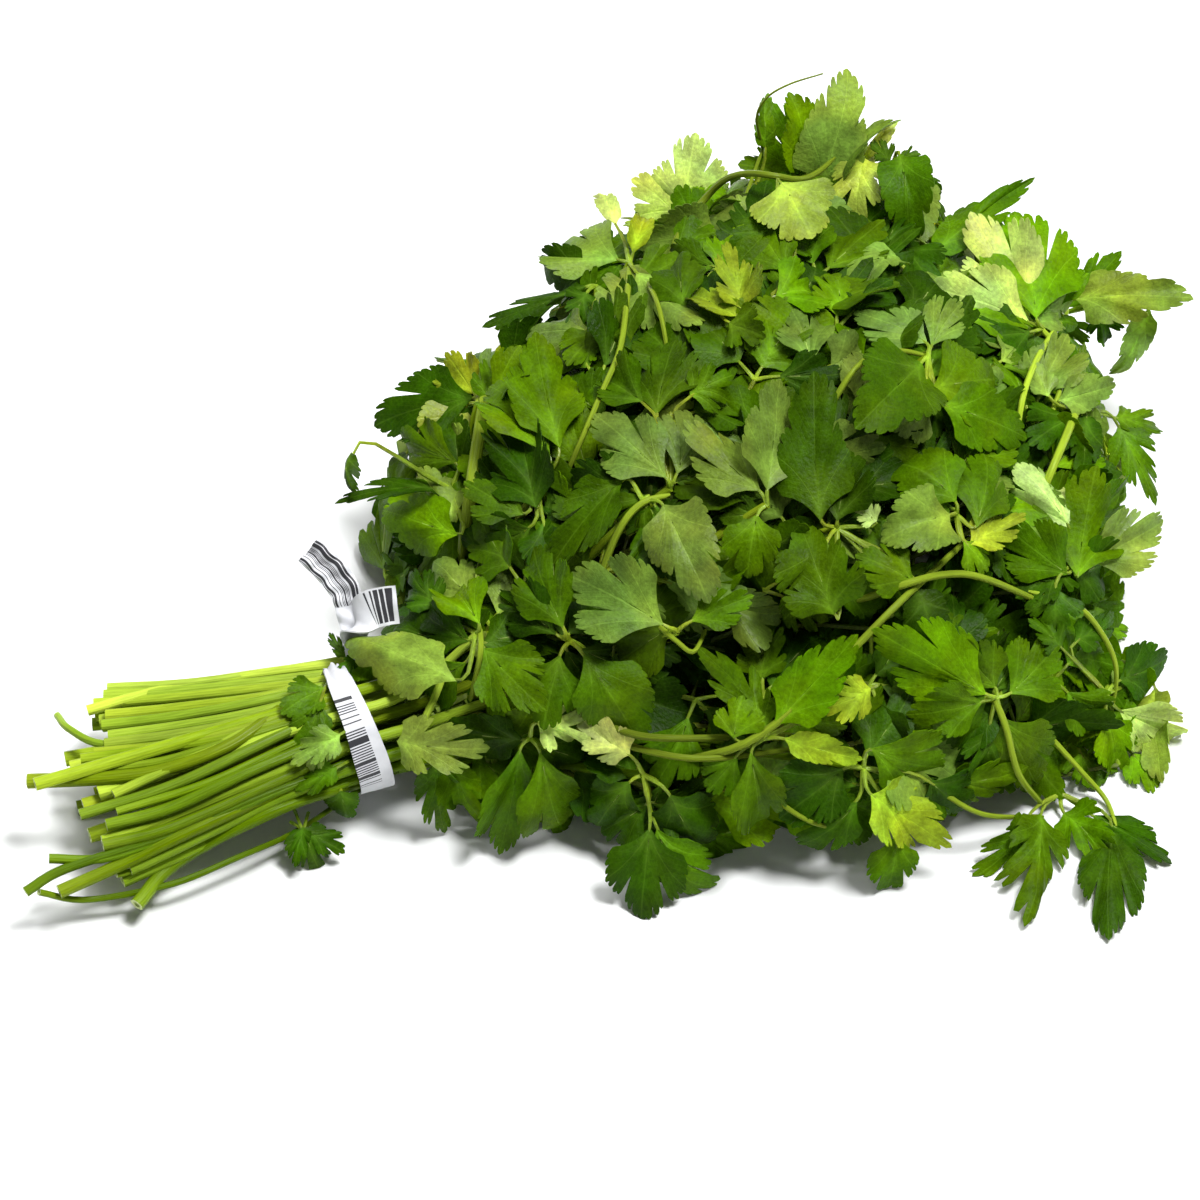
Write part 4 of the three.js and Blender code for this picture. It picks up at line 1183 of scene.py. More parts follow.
def tinted(tone: Tone, crown: np.ndarray, rng: np.random.Generator) -> np.ndarray:
    """The linear colour of one leaflet, a little off its tone, with painted light and shade by place.

    Args:
        tone: The leaflet's tone.
        crown: Where it grows.
        rng: Where the difference comes from.

    Returns:
        Red, green, blue and sheen.
    """
    colour = np.array(linear(tone.value)[:3]) * rng.uniform(0.85, 1.15)
    colour = colour * np.array([rng.uniform(0.88, 1.08), 1.0, rng.uniform(0.85, 1.2)])
    # painted light and shade: the colour scaled by the leaflet's place along X, most in the middle of
    # the bunch and less on pale and grey blades
    inside = np.interp(HEAP.up_of(crown), *PAINTED_LIGHT_WEIGHT) * (0.8 if tone in (PALE, GREY) else 1.0)
    colour = colour * (1 + inside * (np.interp(crown[0], *PAINTED_LIGHT_BY_X) - 1))
    return np.append(colour, SHEENS[tone] * rng.uniform(0.5, 1.4))


@dataclass
class Foliage:
    """The leaves of the bunch: toothed leaflets on short stalks round each crown."""

    large: LeafletForm
    medium: LeafletForm
    small: LeafletForm
    deep: LeafletForm
    stalk: TubeForm
    skins: list[bpy.types.Material]
    stalk_radius: float = 0.85
    stalk_tip: float = 0.45
    stalk_colour: str = "86a020"
    lengthen: float = 1.12  # a tooth's reach past the listed tip
    broaden: float = 1.32  # a flat blade for its listed width, seen aslant
    large_from: float = 15.5  # a leaflet this wide has the finest margin
    paired_from: float = 12.5  # a leaflet this wide has another behind it
    seed: int = 100  # of the first leaf

    def stalk_to(self, crown: np.ndarray, base: np.ndarray, tip: np.ndarray, radius: float) -> Shell:
        """Make the stalk from a crown to a leaflet.

        Args:
            crown: Where the stalk starts.
            base: Where the leaflet starts.
            tip: The leaflet's tip.
            radius: The stalk's radius at the crown.

        Returns:
            The stalk, which runs a little way under the leaflet.
        """
        reach = float(np.linalg.norm(base - crown))
        along = unit(tip - base)
        end = base + along * 2.2
        ease = max(reach, 3.0) * 0.45
        bends = [crown, crown + unit(base - crown + UP) * ease, end - along * (ease + 2), end]
        line = bezier(bends, np.linspace(0, 1, 9))
        colours = np.tile(linear(self.stalk_colour)[:3], (9, 1))
        return self.stalk.sweep(line, np.linspace(radius, self.stalk_tip, 9), colours)

    def leaf(self, leaf: Leaf, seed: int) -> Shell:
        """Build one leaf of the heap.

        Args:
            leaf: Which leaf.
            seed: Seed of its irregularity.

        Returns:
            Its leaflets and stalks as one shell.
        """
        rng = np.random.default_rng(seed)
        crown = HEAP.place(*leaf.crown)
        parts = []
        for row in leaf.rows:
            base_x, base_up, tip_x, tip_up, width, roll, sink, cut, tone = row[:9]
            usual = (rng.uniform(10, 58), rng.uniform(-6, 22), leaf.lean)
            curl, fold, lean = row[9:] + usual[len(row) - 9 :]
            base = HEAP.near(crown, HEAP.place(base_x, base_up, sink))
            tip = HEAP.tip(base, tip_x, tip_up, sink, lean)
            facing = unit(HEAP.facing(base) + HEAP.sheet_out * leaf.toward)
            end = base + (tip - base) * self.lengthen
            roll += rng.uniform(-18, 18)
            twist = rng.uniform(-24, 24)
            lie = Lie(base, end, width * self.broaden, facing, roll, curl, fold, twist)
            form = self.large if width >= self.large_from else self.medium
            parts.append(form.lay(lie, cut, tinted(tone, crown, rng), rng))
            parts.append(self.stalk_to(crown, base, tip, self.stalk_radius))
            if width >= self.paired_from and cut is not FROND:
                parts += self.behind(crown, lie, tone, rng)
        return Shell.join(parts)

    def behind(self, crown: np.ndarray, front: Lie, tone: Tone, rng: np.random.Generator) -> list[Shell]:
        """Build a smaller leaflet that shows from behind another.

        Args:
            crown: The leaf's crown.
            front: How the leaflet in front lies.
            tone: The front leaflet's tone.
            rng: Where its irregularity comes from.

        Returns:
            The leaflet and its stalk.
        """
        turn = rng.choice([-1.0, 1.0]) * rng.uniform(35, 80)
        away = turned(front.tip - front.base, front.facing, turn) * rng.uniform(0.6, 0.85)
        base = crown + (front.base - crown) * 0.6 - front.facing * 3.0
        tip = base + away - front.facing * rng.uniform(2, 8)
        base[2] = max(base[2], 1.5)
        tip[2] = max(tip[2], 1.0)
        width = front.width * rng.uniform(0.6, 0.85)
        bends = (rng.uniform(*most) for most in ((-25, 25), (10, 60), (-4, 16), (-20, 20)))
        lie = Lie(base, tip, width, front.facing, *bends)
        cut = (FAN, ROUND, FROND)[int(rng.integers(3))]
        # painted shade: the leaflet behind takes a darker tone
        leaflet = self.small.lay(lie, cut, tinted(SHADE_TONE_BEHIND[tone], crown, rng), rng)
        return [leaflet, self.stalk_to(crown, base, tip, self.stalk_radius * 0.8)]

    def far_leaf(self, leaf: Leaf, seed: int) -> Shell:
        """Build one leaf behind or below the heap.

        Args:
            leaf: Which leaf.
            seed: Seed of its irregularity.

        Returns:
            Its leaflets and stalks as one shell.
        """
        rng = np.random.default_rng(seed)
        crown = np.array(leaf.crown, dtype=float)
        curl, fold = (2.0, 0.0) if leaf.name == "under" else (30.0, 8.0)
        parts = []
        for row in leaf.rows:
            base, tip = np.array(row[:3], dtype=float), np.array(row[3:6], dtype=float)
            width, tone = row[6:]
            lie = Lie(base, tip, width, UP, 0.0, curl, fold)
            parts.append(self.medium.lay(lie, FAN, tinted(tone, crown, rng), rng))
            parts.append(self.stalk_to(crown, base, tip, self.stalk_radius))
        return Shell.join(parts)

    def build(self) -> None:
        """Build every leaf in the place of its node."""
        for index, leaf in enumerate(LEAVES + FAR_LEAVES):
            make = self.leaf if leaf in LEAVES else self.far_leaf
            shell = make(leaf, self.seed + index)
            shell.to_piece(f"fresh_leaf_{leaf.name}", self.skins, leaf.slot, f"leaf_{leaf.name}")


# ---- leaves that fill the heap -------------------------------------------------------------------


@dataclass(frozen=True)
class Layer:
    """One layer of filling sprigs."""

    name: str
    slot: str
    leaflets: tuple[float, ...]  # degrees of each leaflet from the sprig's own direction
    tones: tuple[Tone, ...]
    cuts: tuple[Cut, ...]
    sink: tuple[float, float]  # mm under the skin
    length: tuple[float, float]
    pitch: float  # mm between sprigs on the sheet, 0 where they go round the dome
    seed: int
    gain: float = 1.0  # of the blades' colour


@dataclass
class Filling:
    """Sprigs that fill the heap behind its front leaves and cover its far side."""

    foliage: Foliage
    outline: tuple[tuple[float, float], ...] = (
        (-4, 26), (-2, 50), (4, 60), (-2, 76), (10, 88), (22, 106), (40, 112), (58, 130), (74, 150),
        (98, 166), (118, 172), (140, 184), (152, 178), (162, 158), (190, 150), (204, 140), (210, 124),
        (228, 96), (228, 66), (224, 38), (234, 6), (226, -16), (216, -27), (204, -20), (192, -14),
        (184, -22), (172, -30), (160, -34), (130, -28), (100, -38), (80, -38), (56, -26), (24, -20),
        (8, -12),
    )  # across and up on the sheet, what the heap covers
    windows: tuple[tuple[float, float, float, float], ...] = (
        (160, 50, 15, 9), (97, 22, 12, 7), (98, -3, 18, 5), (128, 20, 12, 6), (205, 110, 8, 8),
        (152, 79, 7, 9), (181, 33, 12, 8),
    )  # across, up, and half sizes of gaps where stems show
    canopy: Layer = Layer(
        "canopy", "leaf_green", (-62, 0, 58), (MID, DARK, MID, VIVID, DARK, MID, GREY),
        (FAN, FAN, ROUND, FROND), (9.0, 19.0), (16.0, 25.0), 17.5, 51,
    )
    # the inner layer's darker tones are painted shade deep in the heap; its gain of 1.35 lightens them
    # again as painted fill light
    inner: Layer = Layer(
        "inner", "leaf_dark", (-70, 0, 68), (DARK, DARK, MID, DARK),
        (FAN, ROUND, FROND), (20.0, 38.0), (18.0, 27.0), 23.0, 52, 1.35,
    )
    far: Layer = Layer(
        "far", "leaf_green", (-105, -52, 0, 50, 100), (MID, VIVID, MID, DARK, GREY, YELLOW, MID),
        (FAN, FAN, ROUND, FROND), (0.0, 9.0), (17.0, 26.0), 0.0, 53,
    )
    across: tuple[float, float] = (4.0, 236.0)  # mm that the rows of sprigs span
    up: tuple[float, float] = (-36.0, 182.0)
    window_margin: float = 6.0
    far_count: int = 210  # places on the dome, of which the near side's stay empty
    far_shares: tuple[float, ...] = (1.0, 0.9, 0.8, 0.7, 0.6, 0.5)  # of the dome, at the outline
    far_margin: float = 6.0
    far_extra: tuple[tuple[float, float, float], ...] = (
        (218, 44, 9), (212, 30, 8), (222, 62, 10), (206, 14, 8), (216, 50, 24),
    )  # crowns low on the right
    far_limit: float = 198.0  # mm along Y that the near side's crowns keep to
    far_facing: tuple[float, float, float] = (1.0, -0.35, 0.3)  # of the low crowns on the right
    golden: float = math.radians(137.508)
    in_piece: int = 20  # sprigs in each piece

    def covers(self, point: np.ndarray) -> bool:
        """Whether a point lies inside the outline, seen square to the sheet.

        Args:
            point: A place in the heap.

        Returns:
            True inside.
        """
        x = point[0]
        y = HEAP.up_of(point)
        inside = False
        for (x1, y1), (x2, y2) in zip(self.outline, self.outline[1:] + self.outline[:1]):
            if (y1 > y) != (y2 > y) and x < (x2 - x1) * (y - y1) / (y2 - y1) + x1:
                inside = not inside
        return inside

    def sprig(
        self, layer: Layer, crown: np.ndarray, normal: np.ndarray, form: LeafletForm,
        rng: np.random.Generator,
    ) -> list[Shell]:
        """Build one sprig.

        Args:
            layer: Its layer.
            crown: Where its leaflets meet.
            normal: The heap's slope there.
            form: The leaflets' form.
            rng: Where its irregularity comes from.

        Returns:
            The sprig, or nothing where the outline leaves no room for it.
        """
        away = crown - (TIE_CENTRE + HEAP.axis * 10)
        along = unit(away - normal * float(away @ normal))
        along = turned(along, normal, rng.uniform(-50, 50))
        parts = []
        for angle in layer.leaflets:
            heading = turned(along, normal, angle + rng.uniform(-16, 16))
            length = rng.uniform(*layer.length) * (1.15 if angle == 0 else 1.0)
            base = crown + heading * rng.uniform(3, 8) + normal * rng.uniform(-1, 2)
            tip = base + heading * length - normal * (length**2 / 190 + rng.uniform(-1, 6))
            base[2] = max(base[2], 1.5)
            tip[2] = max(tip[2], 0.6)
            if not (self.covers(tip) and self.covers(base)):
                continue
            width = length * rng.uniform(0.78, 1.0)
            bends = (rng.uniform(*most) for most in ((-30, 30), (5, 65), (-6, 22), (-24, 24)))
            lie = Lie(base, tip, width, normal, *bends)
            cut = layer.cuts[int(rng.integers(len(layer.cuts)))]
            tone = layer.tones[int(rng.integers(len(layer.tones)))]
            colour = tinted(tone, crown, rng) * np.array([layer.gain, layer.gain, layer.gain, 1.0])
            parts.append(form.lay(lie, cut, colour, rng))
            parts.append(self.foliage.stalk_to(crown, base, tip, 0.75))
        if not parts:
            return []
        root = TIE_CENTRE + HEAP.axis * rng.uniform(12, 30) + HEAP.beside * rng.uniform(-11, 11)
        root = root + UP * rng.uniform(-11, 11)
        reach = float(np.linalg.norm(crown - root))
        before = crown - along * reach * 0.2 - normal * reach * 0.1
        line = bezier([root, root + HEAP.axis * reach * 0.4, before, crown], np.linspace(0, 1, 9))
        line[:, 2] = np.maximum(line[:, 2], 1.5)
        colour = np.array(linear(self.foliage.stalk_colour)[:3]) * rng.uniform(0.6, 1.0)
        stalk = self.foliage.stalk.sweep(line, np.linspace(1.3, 0.8, 9), np.tile(colour, (9, 1)))
        return [Shell.join(parts + [stalk])]

    def open_at(self, across: float, up: float) -> bool:
        """Tell whether a place lies in one of the windows, or just beside it.

        Args:
            across: Millimetres along X.
            up: Millimetres up the sheet.

        Returns:
            Whether it does.
        """
        margin = self.window_margin
        return any(
            math.hypot((across - x) / (half + margin), (up - y) / (high + margin)) < 1
            for x, y, half, high in self.windows
        )

    def near_side(self, layer: Layer, form: LeafletForm) -> list[Shell]:
        """Build a layer over the side that faces the sheet.

        Args:
            layer: The layer.
            form: The leaflets' form.

        Returns:
            Its sprigs.
        """
        rng = np.random.default_rng(layer.seed)
        shells = []
        for number, up in enumerate(np.arange(*self.up, layer.pitch * 0.9)):
            first = self.across[0] + (number % 2) * layer.pitch / 2
            for across in np.arange(first, self.across[1], layer.pitch):
                x, h = across + rng.uniform(-4, 4), up + rng.uniform(-4, 4)
                crown = HEAP.place(x, h, rng.uniform(*layer.sink))
                if not self.covers(crown) or crown[1] > self.far_limit:
                    continue
                if layer is self.canopy and self.open_at(x, h):
                    continue
                crown[2] = max(crown[2], 4.0)
                shells += self.sprig(layer, crown, HEAP.facing(crown), form, rng)
        return shells

    def far_side(self) -> list[Shell]:
        """Build the layer over the side that faces away.

        Returns:
            Its sprigs.
        """
        rng = np.random.default_rng(self.far.seed)
        sizes = np.array([HEAP.radius, HEAP.radius, HEAP.height * 0.95])
        shells = []
        for index in range(self.far_count):
            rise = 1 - (index + 0.5) / self.far_count
            ring, turn = math.sqrt(1 - rise**2), index * self.golden
            out = np.array([ring * math.cos(turn), ring * math.sin(turn), rise])
            normal = unit(out / sizes)
            if float(normal @ HEAP.sheet_out) > 0.3:
                continue
            sink = rng.uniform(*self.far.sink)
            for share in self.far_shares:
                crown = np.array([*HEAP.centre, 0.0]) + out * sizes * share - normal * sink
                crown[2] = max(crown[2], 5.0)
                if self.covers(crown + normal * self.far_margin):
                    break
            else:
                continue
            shells += self.sprig(self.far, crown, normal, self.foliage.deep, rng)
        facing = unit(np.array(self.far_facing))
        for spot in np.array(self.far_extra, dtype=float):
            shells += self.sprig(self.far, spot, facing, self.foliage.deep, rng)
        return shells

    def build(self) -> None:
        """Build the layers, several sprigs in a piece."""
        for layer, shells in (
            (self.canopy, self.near_side(self.canopy, self.foliage.small)),
            (self.inner, self.near_side(self.inner, self.foliage.deep)),
            (self.far, self.far_side()),
        ):
            for number, start in enumerate(range(0, len(shells), self.in_piece), 1):
                name = f"fresh_{layer.name}_sprigs_{number}"
                sprigs = Shell.join(shells[start : start + self.in_piece])
                sprigs.to_piece(name, self.foliage.skins, layer.slot)


# ---- stems ---------------------------------------------------------------------------------------


@dataclass
class Stems:
    """The stems: cut ends on the left, held by the tie, branching out to the leaves."""

    stem: TubeForm
    branch: TubeForm
    skins: list[bpy.types.Material]
    radius: float = 2.3
    tip_radius: float = 1.3
    knot_radii: tuple[float, float] = (1.35, 1.0)  # of a side branch
    slot_rows: tuple[int, ...] = (2, 4, 5, 5, 4, 2)
    slot_pitch: float = 7.3
    row_pitch: float = 5.7
    cut_centre: tuple[float, float, float] = (-82, -20, 14.6)
    cut_spread: float = 2.1
    cut_flatten: float = 0.86
    cut_stagger: float = 7.0
    long_extra: float = 20.0
    long_rise: float = 4.5
    hub_radius: float = 2.5
    branch_start: float = 0.62
    cut_colour: str = "a6c226"
    middle_colour: str = "80a000"
    leaf_colour: str = "7a960a"
    arc_colour: str = "93ac2c"
    # painted highlight: the upper stems are mixed towards this pale colour
    painted_highlight_colour: str = "dcee74"
    seed: int = 300  # of the first stem

    def slots(self, crowns: list[np.ndarray]) -> list[tuple[float, float]]:
        """Give each stem its place in the tie by where it leads.

        Args:
            crowns: The crown that each stem ends at.

        Returns:
            Across and height from the bundle's middle, for each stem.
        """
        bearings = []
        for index, crown in enumerate(crowns):
            away = crown - TIE_CENTRE
            ahead, aside = float(away @ HEAP.axis) + 20, float(away @ HEAP.beside)
            rise = math.atan2(away[2], math.hypot(ahead, aside))
            bearings.append((rise, math.atan2(aside, ahead), index))
        bearings.sort()
        places: list[tuple[float, float]] = [(0.0, 0.0)] * len(crowns)
        taken = 0
        for row, count in enumerate(self.slot_rows):
            height = (row - (len(self.slot_rows) - 1) / 2) * self.row_pitch
            layer = sorted(bearings[taken : taken + count], key=lambda item: item[1])
            for i, (_, _, index) in enumerate(layer):
                places[index] = ((i - (count - 1) / 2) * self.slot_pitch, height)
            taken += count
        return places

    def line(
        self, slot: tuple[float, float], crown: np.ndarray, index: int
    ) -> tuple[np.ndarray, list[np.ndarray]]:
        """The line of one stem.

        Args:
            slot: Its place in the tie.
            crown: The crown that it ends at.
            index: Its number.

        Returns:
            Points from the cut end to the crown, and the control points beyond the tie.
        """
        across, height = slot
        held = TIE_CENTRE + HEAP.beside * across + UP * height
        middle = np.array(self.cut_centre, dtype=float)
        axis = -unit(np.array([middle[0], middle[1], 0.0]))
        beside = np.array([-axis[1], axis[0], 0.0])
        over = height > (len(self.slot_rows) / 2 - 1) * self.row_pitch and across > 0
        stagger = -self.long_extra if over else self.cut_stagger * math.sin(index * 2.4)
        cut = middle + axis * stagger + beside * across * (-1 if over else self.cut_spread)
        cut = cut + UP * (height * self.cut_flatten + (self.long_rise if over else 0))
        reach = float(np.linalg.norm(crown - held))
        approach = unit(unit(crown - held) + HEAP.facing(crown) * 0.35)
        end = crown - approach * self.hub_radius
        bends = [cut, cut + (held - cut) * 0.35, held - HEAP.axis * 28, held]
        inner = bezier(bends, np.linspace(0, 1, 40))
        outer_points = [held, held + HEAP.axis * 0.4 * reach, end - approach * 0.25 * reach, end]
        outer = bezier(outer_points, np.linspace(0, 1, 60))
        return evenly(np.vstack([inner[:-1], outer, crown[None, :]]), 41), outer_points

    def colours(self, count: int, lift: float, rng: np.random.Generator) -> np.ndarray:
        """The colour along one stem, from its cut end to its leaf.

        Args:
            count: How many points.
            lift: How high it lies in the bundle, from 0 to 1: the upper stems get painted light and a
                painted highlight, the lower ones painted shade.
            rng: Where the difference between stems comes from.

        Returns:
            One linear colour a point.
        """
        keys = (self.cut_colour, self.middle_colour, self.leaf_colour)
        # painted light and shade: the upper stems lighter and yellower, the lower ones darker
        gain = (0.4 + 0.24 * lift + 0.46 * lift**3) * rng.uniform(0.7, 1.2)
        red = rng.uniform(0.86, 1.1) * (0.92 + 0.12 * lift)
        gain = gain * np.array([red, 1.0, rng.uniform(0.7, 1.1)])
        knots = np.array([0, rng.uniform(0.12, 0.3), 1])
        # painted highlight on the upper stems
        pale = rng.uniform(0.0, 0.34) * lift**3
        colours = between(np.linspace(0, 1, count), knots, np.array([linear(c)[:3] for c in keys]))
        return colours * gain * (1 - pale) + np.array(linear(self.painted_highlight_colour)[:3]) * pale

    def build(self) -> None:
        """Build every stem in the place of its node."""
        crowns = {leaf.name: HEAP.place(*leaf.crown) for leaf in LEAVES}
        crowns |= {leaf.name: np.array(leaf.crown, dtype=float) for leaf in FAR_LEAVES}
        own = [name for name in crowns if name not in BRANCHES]
        slots = self.slots([crowns[name] for name in own])
        for index, name in enumerate(own):
            rng = np.random.default_rng(self.seed + index)
            line, outer = self.line(slots[index], crowns[name], index)
            count = len(line)
            colours = self.colours(count, min(max(slots[index][1] / 28 + 0.5, 0.0), 1.0), rng)
            radii = np.linspace(self.radius, self.tip_radius, count)
            radii = radii * (1 + 0.05 * np.sin(np.linspace(0, 9, count) + rng.uniform(0, 6)))
            ridges = 5 + int(rng.integers(3))
            parts = [self.stem.sweep(line, radii, colours, 0.05, ridges, rng.uniform(0.86, 1.0))]
            for end in (crowns[leaf] for leaf, carrier in BRANCHES.items() if carrier == name):
                share = np.array([self.branch_start, self.branch_start + 0.02])
                start, ahead = bezier(outer, share)
                knee = start + (end - start) * 0.4 + unit(ahead - start) * 6
                path = bezier([start, knee, end], np.linspace(0, 1, 25))
                tint = np.tile(colours[-8], (25, 1))
                radii = np.linspace(*self.knot_radii, 25)
                parts.append(self.branch.sweep(path, radii, tint, 0.04, 5))
            node = f"stem_{index + 1:02d}"
            Shell.join(parts).to_piece(f"fresh_{node}", self.skins, "stem", node)


# ---- tie -----------------------------------------------------------------------------------------


@dataclass(frozen=True)
class PaperFinish:
    """Wet-strength paper over a wire: smooth white stock with creases and plain printed bars."""

    name: str = "tie_paper"
    bar: float = 0.42  # mm, the narrowest bar
    panels: tuple[tuple[float, float, float, float], ...] = (
        (17.5, 49.0, -5.6, 1.6), (215.5, 222.8, -4.6, 5.0), (400.6, 416.4, 14.0, 60.0),
    )  # mm along from and to, and across from and to, of each printed patch
    cloud: tuple[float, float] = (4.0, 3.0)  # mm, and how many finer steps, of its faint clouds
    fibre: tuple[float, float] = (1.6, 5.0)  # and of its fibres

    def build(self) -> bpy.types.Material:
        """Build the material.

        Returns:
            The material, which reads millimetres along and across the strip from the UV map.
        """
        material, tree = new_material(self.name)
        split = add(tree, "SeparateXYZ", {0: add(tree, "UVMap", uv_map="pattern")})
        place = add(tree, "TexCoord").outputs["Object"]
        step = add(tree, "Math", {0: split, 1: 1 / self.bar}, operation="MULTIPLY")
        whole = add(tree, "Math", {0: step}, operation="FLOOR")
        chance = add(tree, "TexWhiteNoise", {"W": whole}, noise_dimensions="1D")
        turn = add(tree, "Math", {0: whole, 1: 1.0}, operation="PINGPONG")
        limit = add(tree, "Math", {0: turn, 1: 0.54, 2: 0.22}, operation="MULTIPLY_ADD")
        bars = add(tree, "Math", {0: chance, 1: limit}, operation="GREATER_THAN")
        inside = None
        for start, end, low, high in self.panels:
            half, side = (end - start) / 2, (high - low) / 2
            along = add(tree, "Math", {0: split, 1: start + half, 2: half}, operation="COMPARE")
            middle = {0: split.outputs[1], 1: low + side, 2: side}
            across = add(tree, "Math", middle, operation="COMPARE")
            panel = add(tree, "Math", {0: along, 1: across}, operation="MULTIPLY")
            if inside is not None:
                panel = add(tree, "Math", {0: inside, 1: panel}, operation="MAXIMUM")
            inside = panel
        print_mask = add(tree, "Math", {0: inside, 1: bars}, operation="MULTIPLY")
        cloud, fibre = (
            add(tree, "TexNoise", {"Vector": place, "Scale": 1 / (size * MM), "Detail": detail})
            for size, detail in (self.cloud, self.fibre)
        )
        stock = {0: cloud, 6: linear("b7b9be"), 7: linear("dbdcdf")}
        stock = add(tree, "Mix", stock, data_type="RGBA").outputs[2]
        colour = {0: print_mask, 6: stock, 7: linear("26262b")}
        colour = add(tree, "Mix", colour, data_type="RGBA").outputs[2]
        bump = add(tree, "Bump", {"Height": fibre, "Strength": 0.25, "Distance": 0.4 * MM})
        paper = {"Base Color": colour, "Roughness": 0.55, "Normal": bump}
        add(tree, "OutputMaterial", {0: add(tree, "BsdfPrincipled", paper)})
        return material


@dataclass
class TwistTie:
    """Paper twist tie: a white printed band round the stems, twisted shut, with two free tails."""

    strip: PlateForm
    tube: TubeForm
    skin: bpy.types.Material
    width: float = 11.0
    thickness: float = 0.45
    radius: float = 18.65  # middle of the band's thickness
    twist_turn: float = 41.8  # degrees round the bundle from its level far side
    twist_length: float = 5.0
    gather: float = 16.0  # mm over which the band is pleated into the twist
    widths: tuple[tuple[float, ...], ...] = (
        (0.0, 3.0, 12.0, 25.0, 38.0), (3.6, 6.4, 8.2, 9.2, 10.6),
    )  # by mm from the twist
    pleats: float = 3.0
    fine: float = 1.6  # how much finer the lengthwise lines are
    crumple: float = 0.6  # height of its cross folds, as a share of the pleats'
    drift: tuple[float, float] = (-7.8, -2.4)  # mm along the bundle, of its top and its foot

    def ribbon(
        self, line: np.ndarray, across: np.ndarray, widths: np.ndarray, pleat: np.ndarray,
        start: float, lengthwise: bool = False,
    ) -> Shell:
        """Wrap the strip along a line.

        Args:
            line: Points along the strip's middle.
            across: Direction of its width at each point.
            widths: Width at each point.
            pleat: Height of its lengthwise pleats at each point.
            start: Millimetres along at its first point, for the print.
            lengthwise: Whether printed lines run along it, not across.

        Returns:
            The strip as a closed shell.
        """
        share = np.linspace(-0.5, 0.5, self.strip.rings + 1)
        tangents = unit(np.gradient(line, axis=0))
        across = unit(across - tangents * np.sum(across * tangents, axis=1, keepdims=True))
        out = np.cross(tangents, across)
        run = lengths(line)[:, None]
        wave = np.cos(share * self.pleats * math.pi)[None, :] * pleat[:, None]
        wave = wave + self.crumple * pleat[:, None] * np.sin(1.15 * run + 5 * share[None, :])
        grid = line[:, None, :] + across[:, None, :] * (share[None, :] * widths[:, None])[..., None]
        grid = grid + out[:, None, :] * wave[..., None]
        side = share[None, :] * self.width
        lines = start + self.fine * (side + self.width / 2) + 0.5 * np.sin(0.9 * run)
        printed = (lines, run) if lengthwise else (start + run, side)
        pattern = np.stack(np.broadcast_arrays(*printed), axis=2)
        return self.strip.wrap(grid, self.thickness, pattern, np.ones((*wave.shape, 3)))

    def band(self) -> Shell:
        """The band, from the twist over the near side, under the stems and back up to the twist.

        Returns:
            The band.
        """
        count = self.strip.columns + 1
        turns = np.radians(self.twist_turn + np.linspace(0, 360, count))
        run = np.linspace(0, 2 * math.pi * self.radius, count)
        near = np.minimum(run, run[-1] - run)
        pinch = np.clip(1 - near / self.gather, 0, 1) ** 1.5
        widths = np.interp(near, *self.widths)
        radius = self.radius + 2.4 * pinch + 0.22 * np.sin(run * 0.31)
        line = (
            TIE_CENTRE
            + HEAP.beside * (radius * np.cos(turns))[:, None]
            + UP * (radius * np.sin(turns))[:, None]
            + HEAP.axis * np.interp(np.sin(turns), (-1, 1), self.drift[::-1])[:, None]
        )
        across = np.tile(HEAP.axis, (count, 1))
        return self.ribbon(line, across, widths, 0.9 * pinch + 0.05, 0.0)

    def tail(
        self, points: list[np.ndarray], across: list[np.ndarray], widths: tuple[float, ...],
        pleats: tuple[float, ...], start: float, lengthwise: bool,
    ) -> Shell:
        """A free tail.

        Args:
            points: What its middle passes through, from the twist.
            across: Direction of its width at the twist, half way and at its end.
            widths: Width at the same places.
            pleats: Height of its pleats at the same places.
            start: Millimetres along at the twist, for the print.
            lengthwise: Whether printed lines run along it, not across.

        Returns:
            The tail.
        """
        count = self.strip.columns + 1
        share, knots = np.linspace(0, 1, count), np.linspace(0, 1, len(across))
        sides = between(share, knots, np.array(across))
        width, pleat = (np.interp(share, knots, sizes) for sizes in (widths, pleats))
        return self.ribbon(smooth_path(points, count), sides, width, pleat, start, lengthwise)

    def build(self) -> None:
        """Build the tie in the place of its node."""
        turn = math.radians(self.twist_turn)
        away = HEAP.beside * math.cos(turn) + UP * math.sin(turn)
        root = TIE_CENTRE + away * (self.radius + 1.0)
        neck = root + away * self.twist_length
        line = np.linspace(root, neck, 9)
        twist = self.tube.sweep(line, np.linspace(1.9, 1.6, 9), np.ones((9, 3)), 0.18, 4)
        on = HEAP.on_sheet
        right = np.array([1.0, 0.0, 0.0])
        up = HEAP.sheet_up
        first = self.tail(
            [neck - away, on(-4.5, 31, 4), on(-1, 35, 6.5), on(4, 36.5, 7.5), on(8, 37, 8)],
            [right, unit(up + right * 0.4), unit(up - right * 0.25), unit(up - right * 0.3)],
            (3.0, 12.0, 12.0, 11.5), (0.6, 0.15, 0.05, 0.25), 200.0, False,
        )
        second = self.tail(
            [neck - away, on(-6.5, 36, 2.5), on(-9, 43, 3), on(-14, 49, 2.5), on(-19, 53.5, 1.5)],
            [right, unit(right + up * 0.5), unit(right + up * 0.9), unit(right * 0.8 + up)],
            (3.0, 8.5, 9.5, 9.0), (0.6, 0.5, 0.6, 1.0), 400.0, True,
        )
        shell = Shell.join([self.band(), twist, first, second])
        shell.to_piece("paper_twist_tie", [self.skin, self.skin], "tie_paper", "twist_tie")


# ---- loose stems and small leaves at the tie -----------------------------------------------------


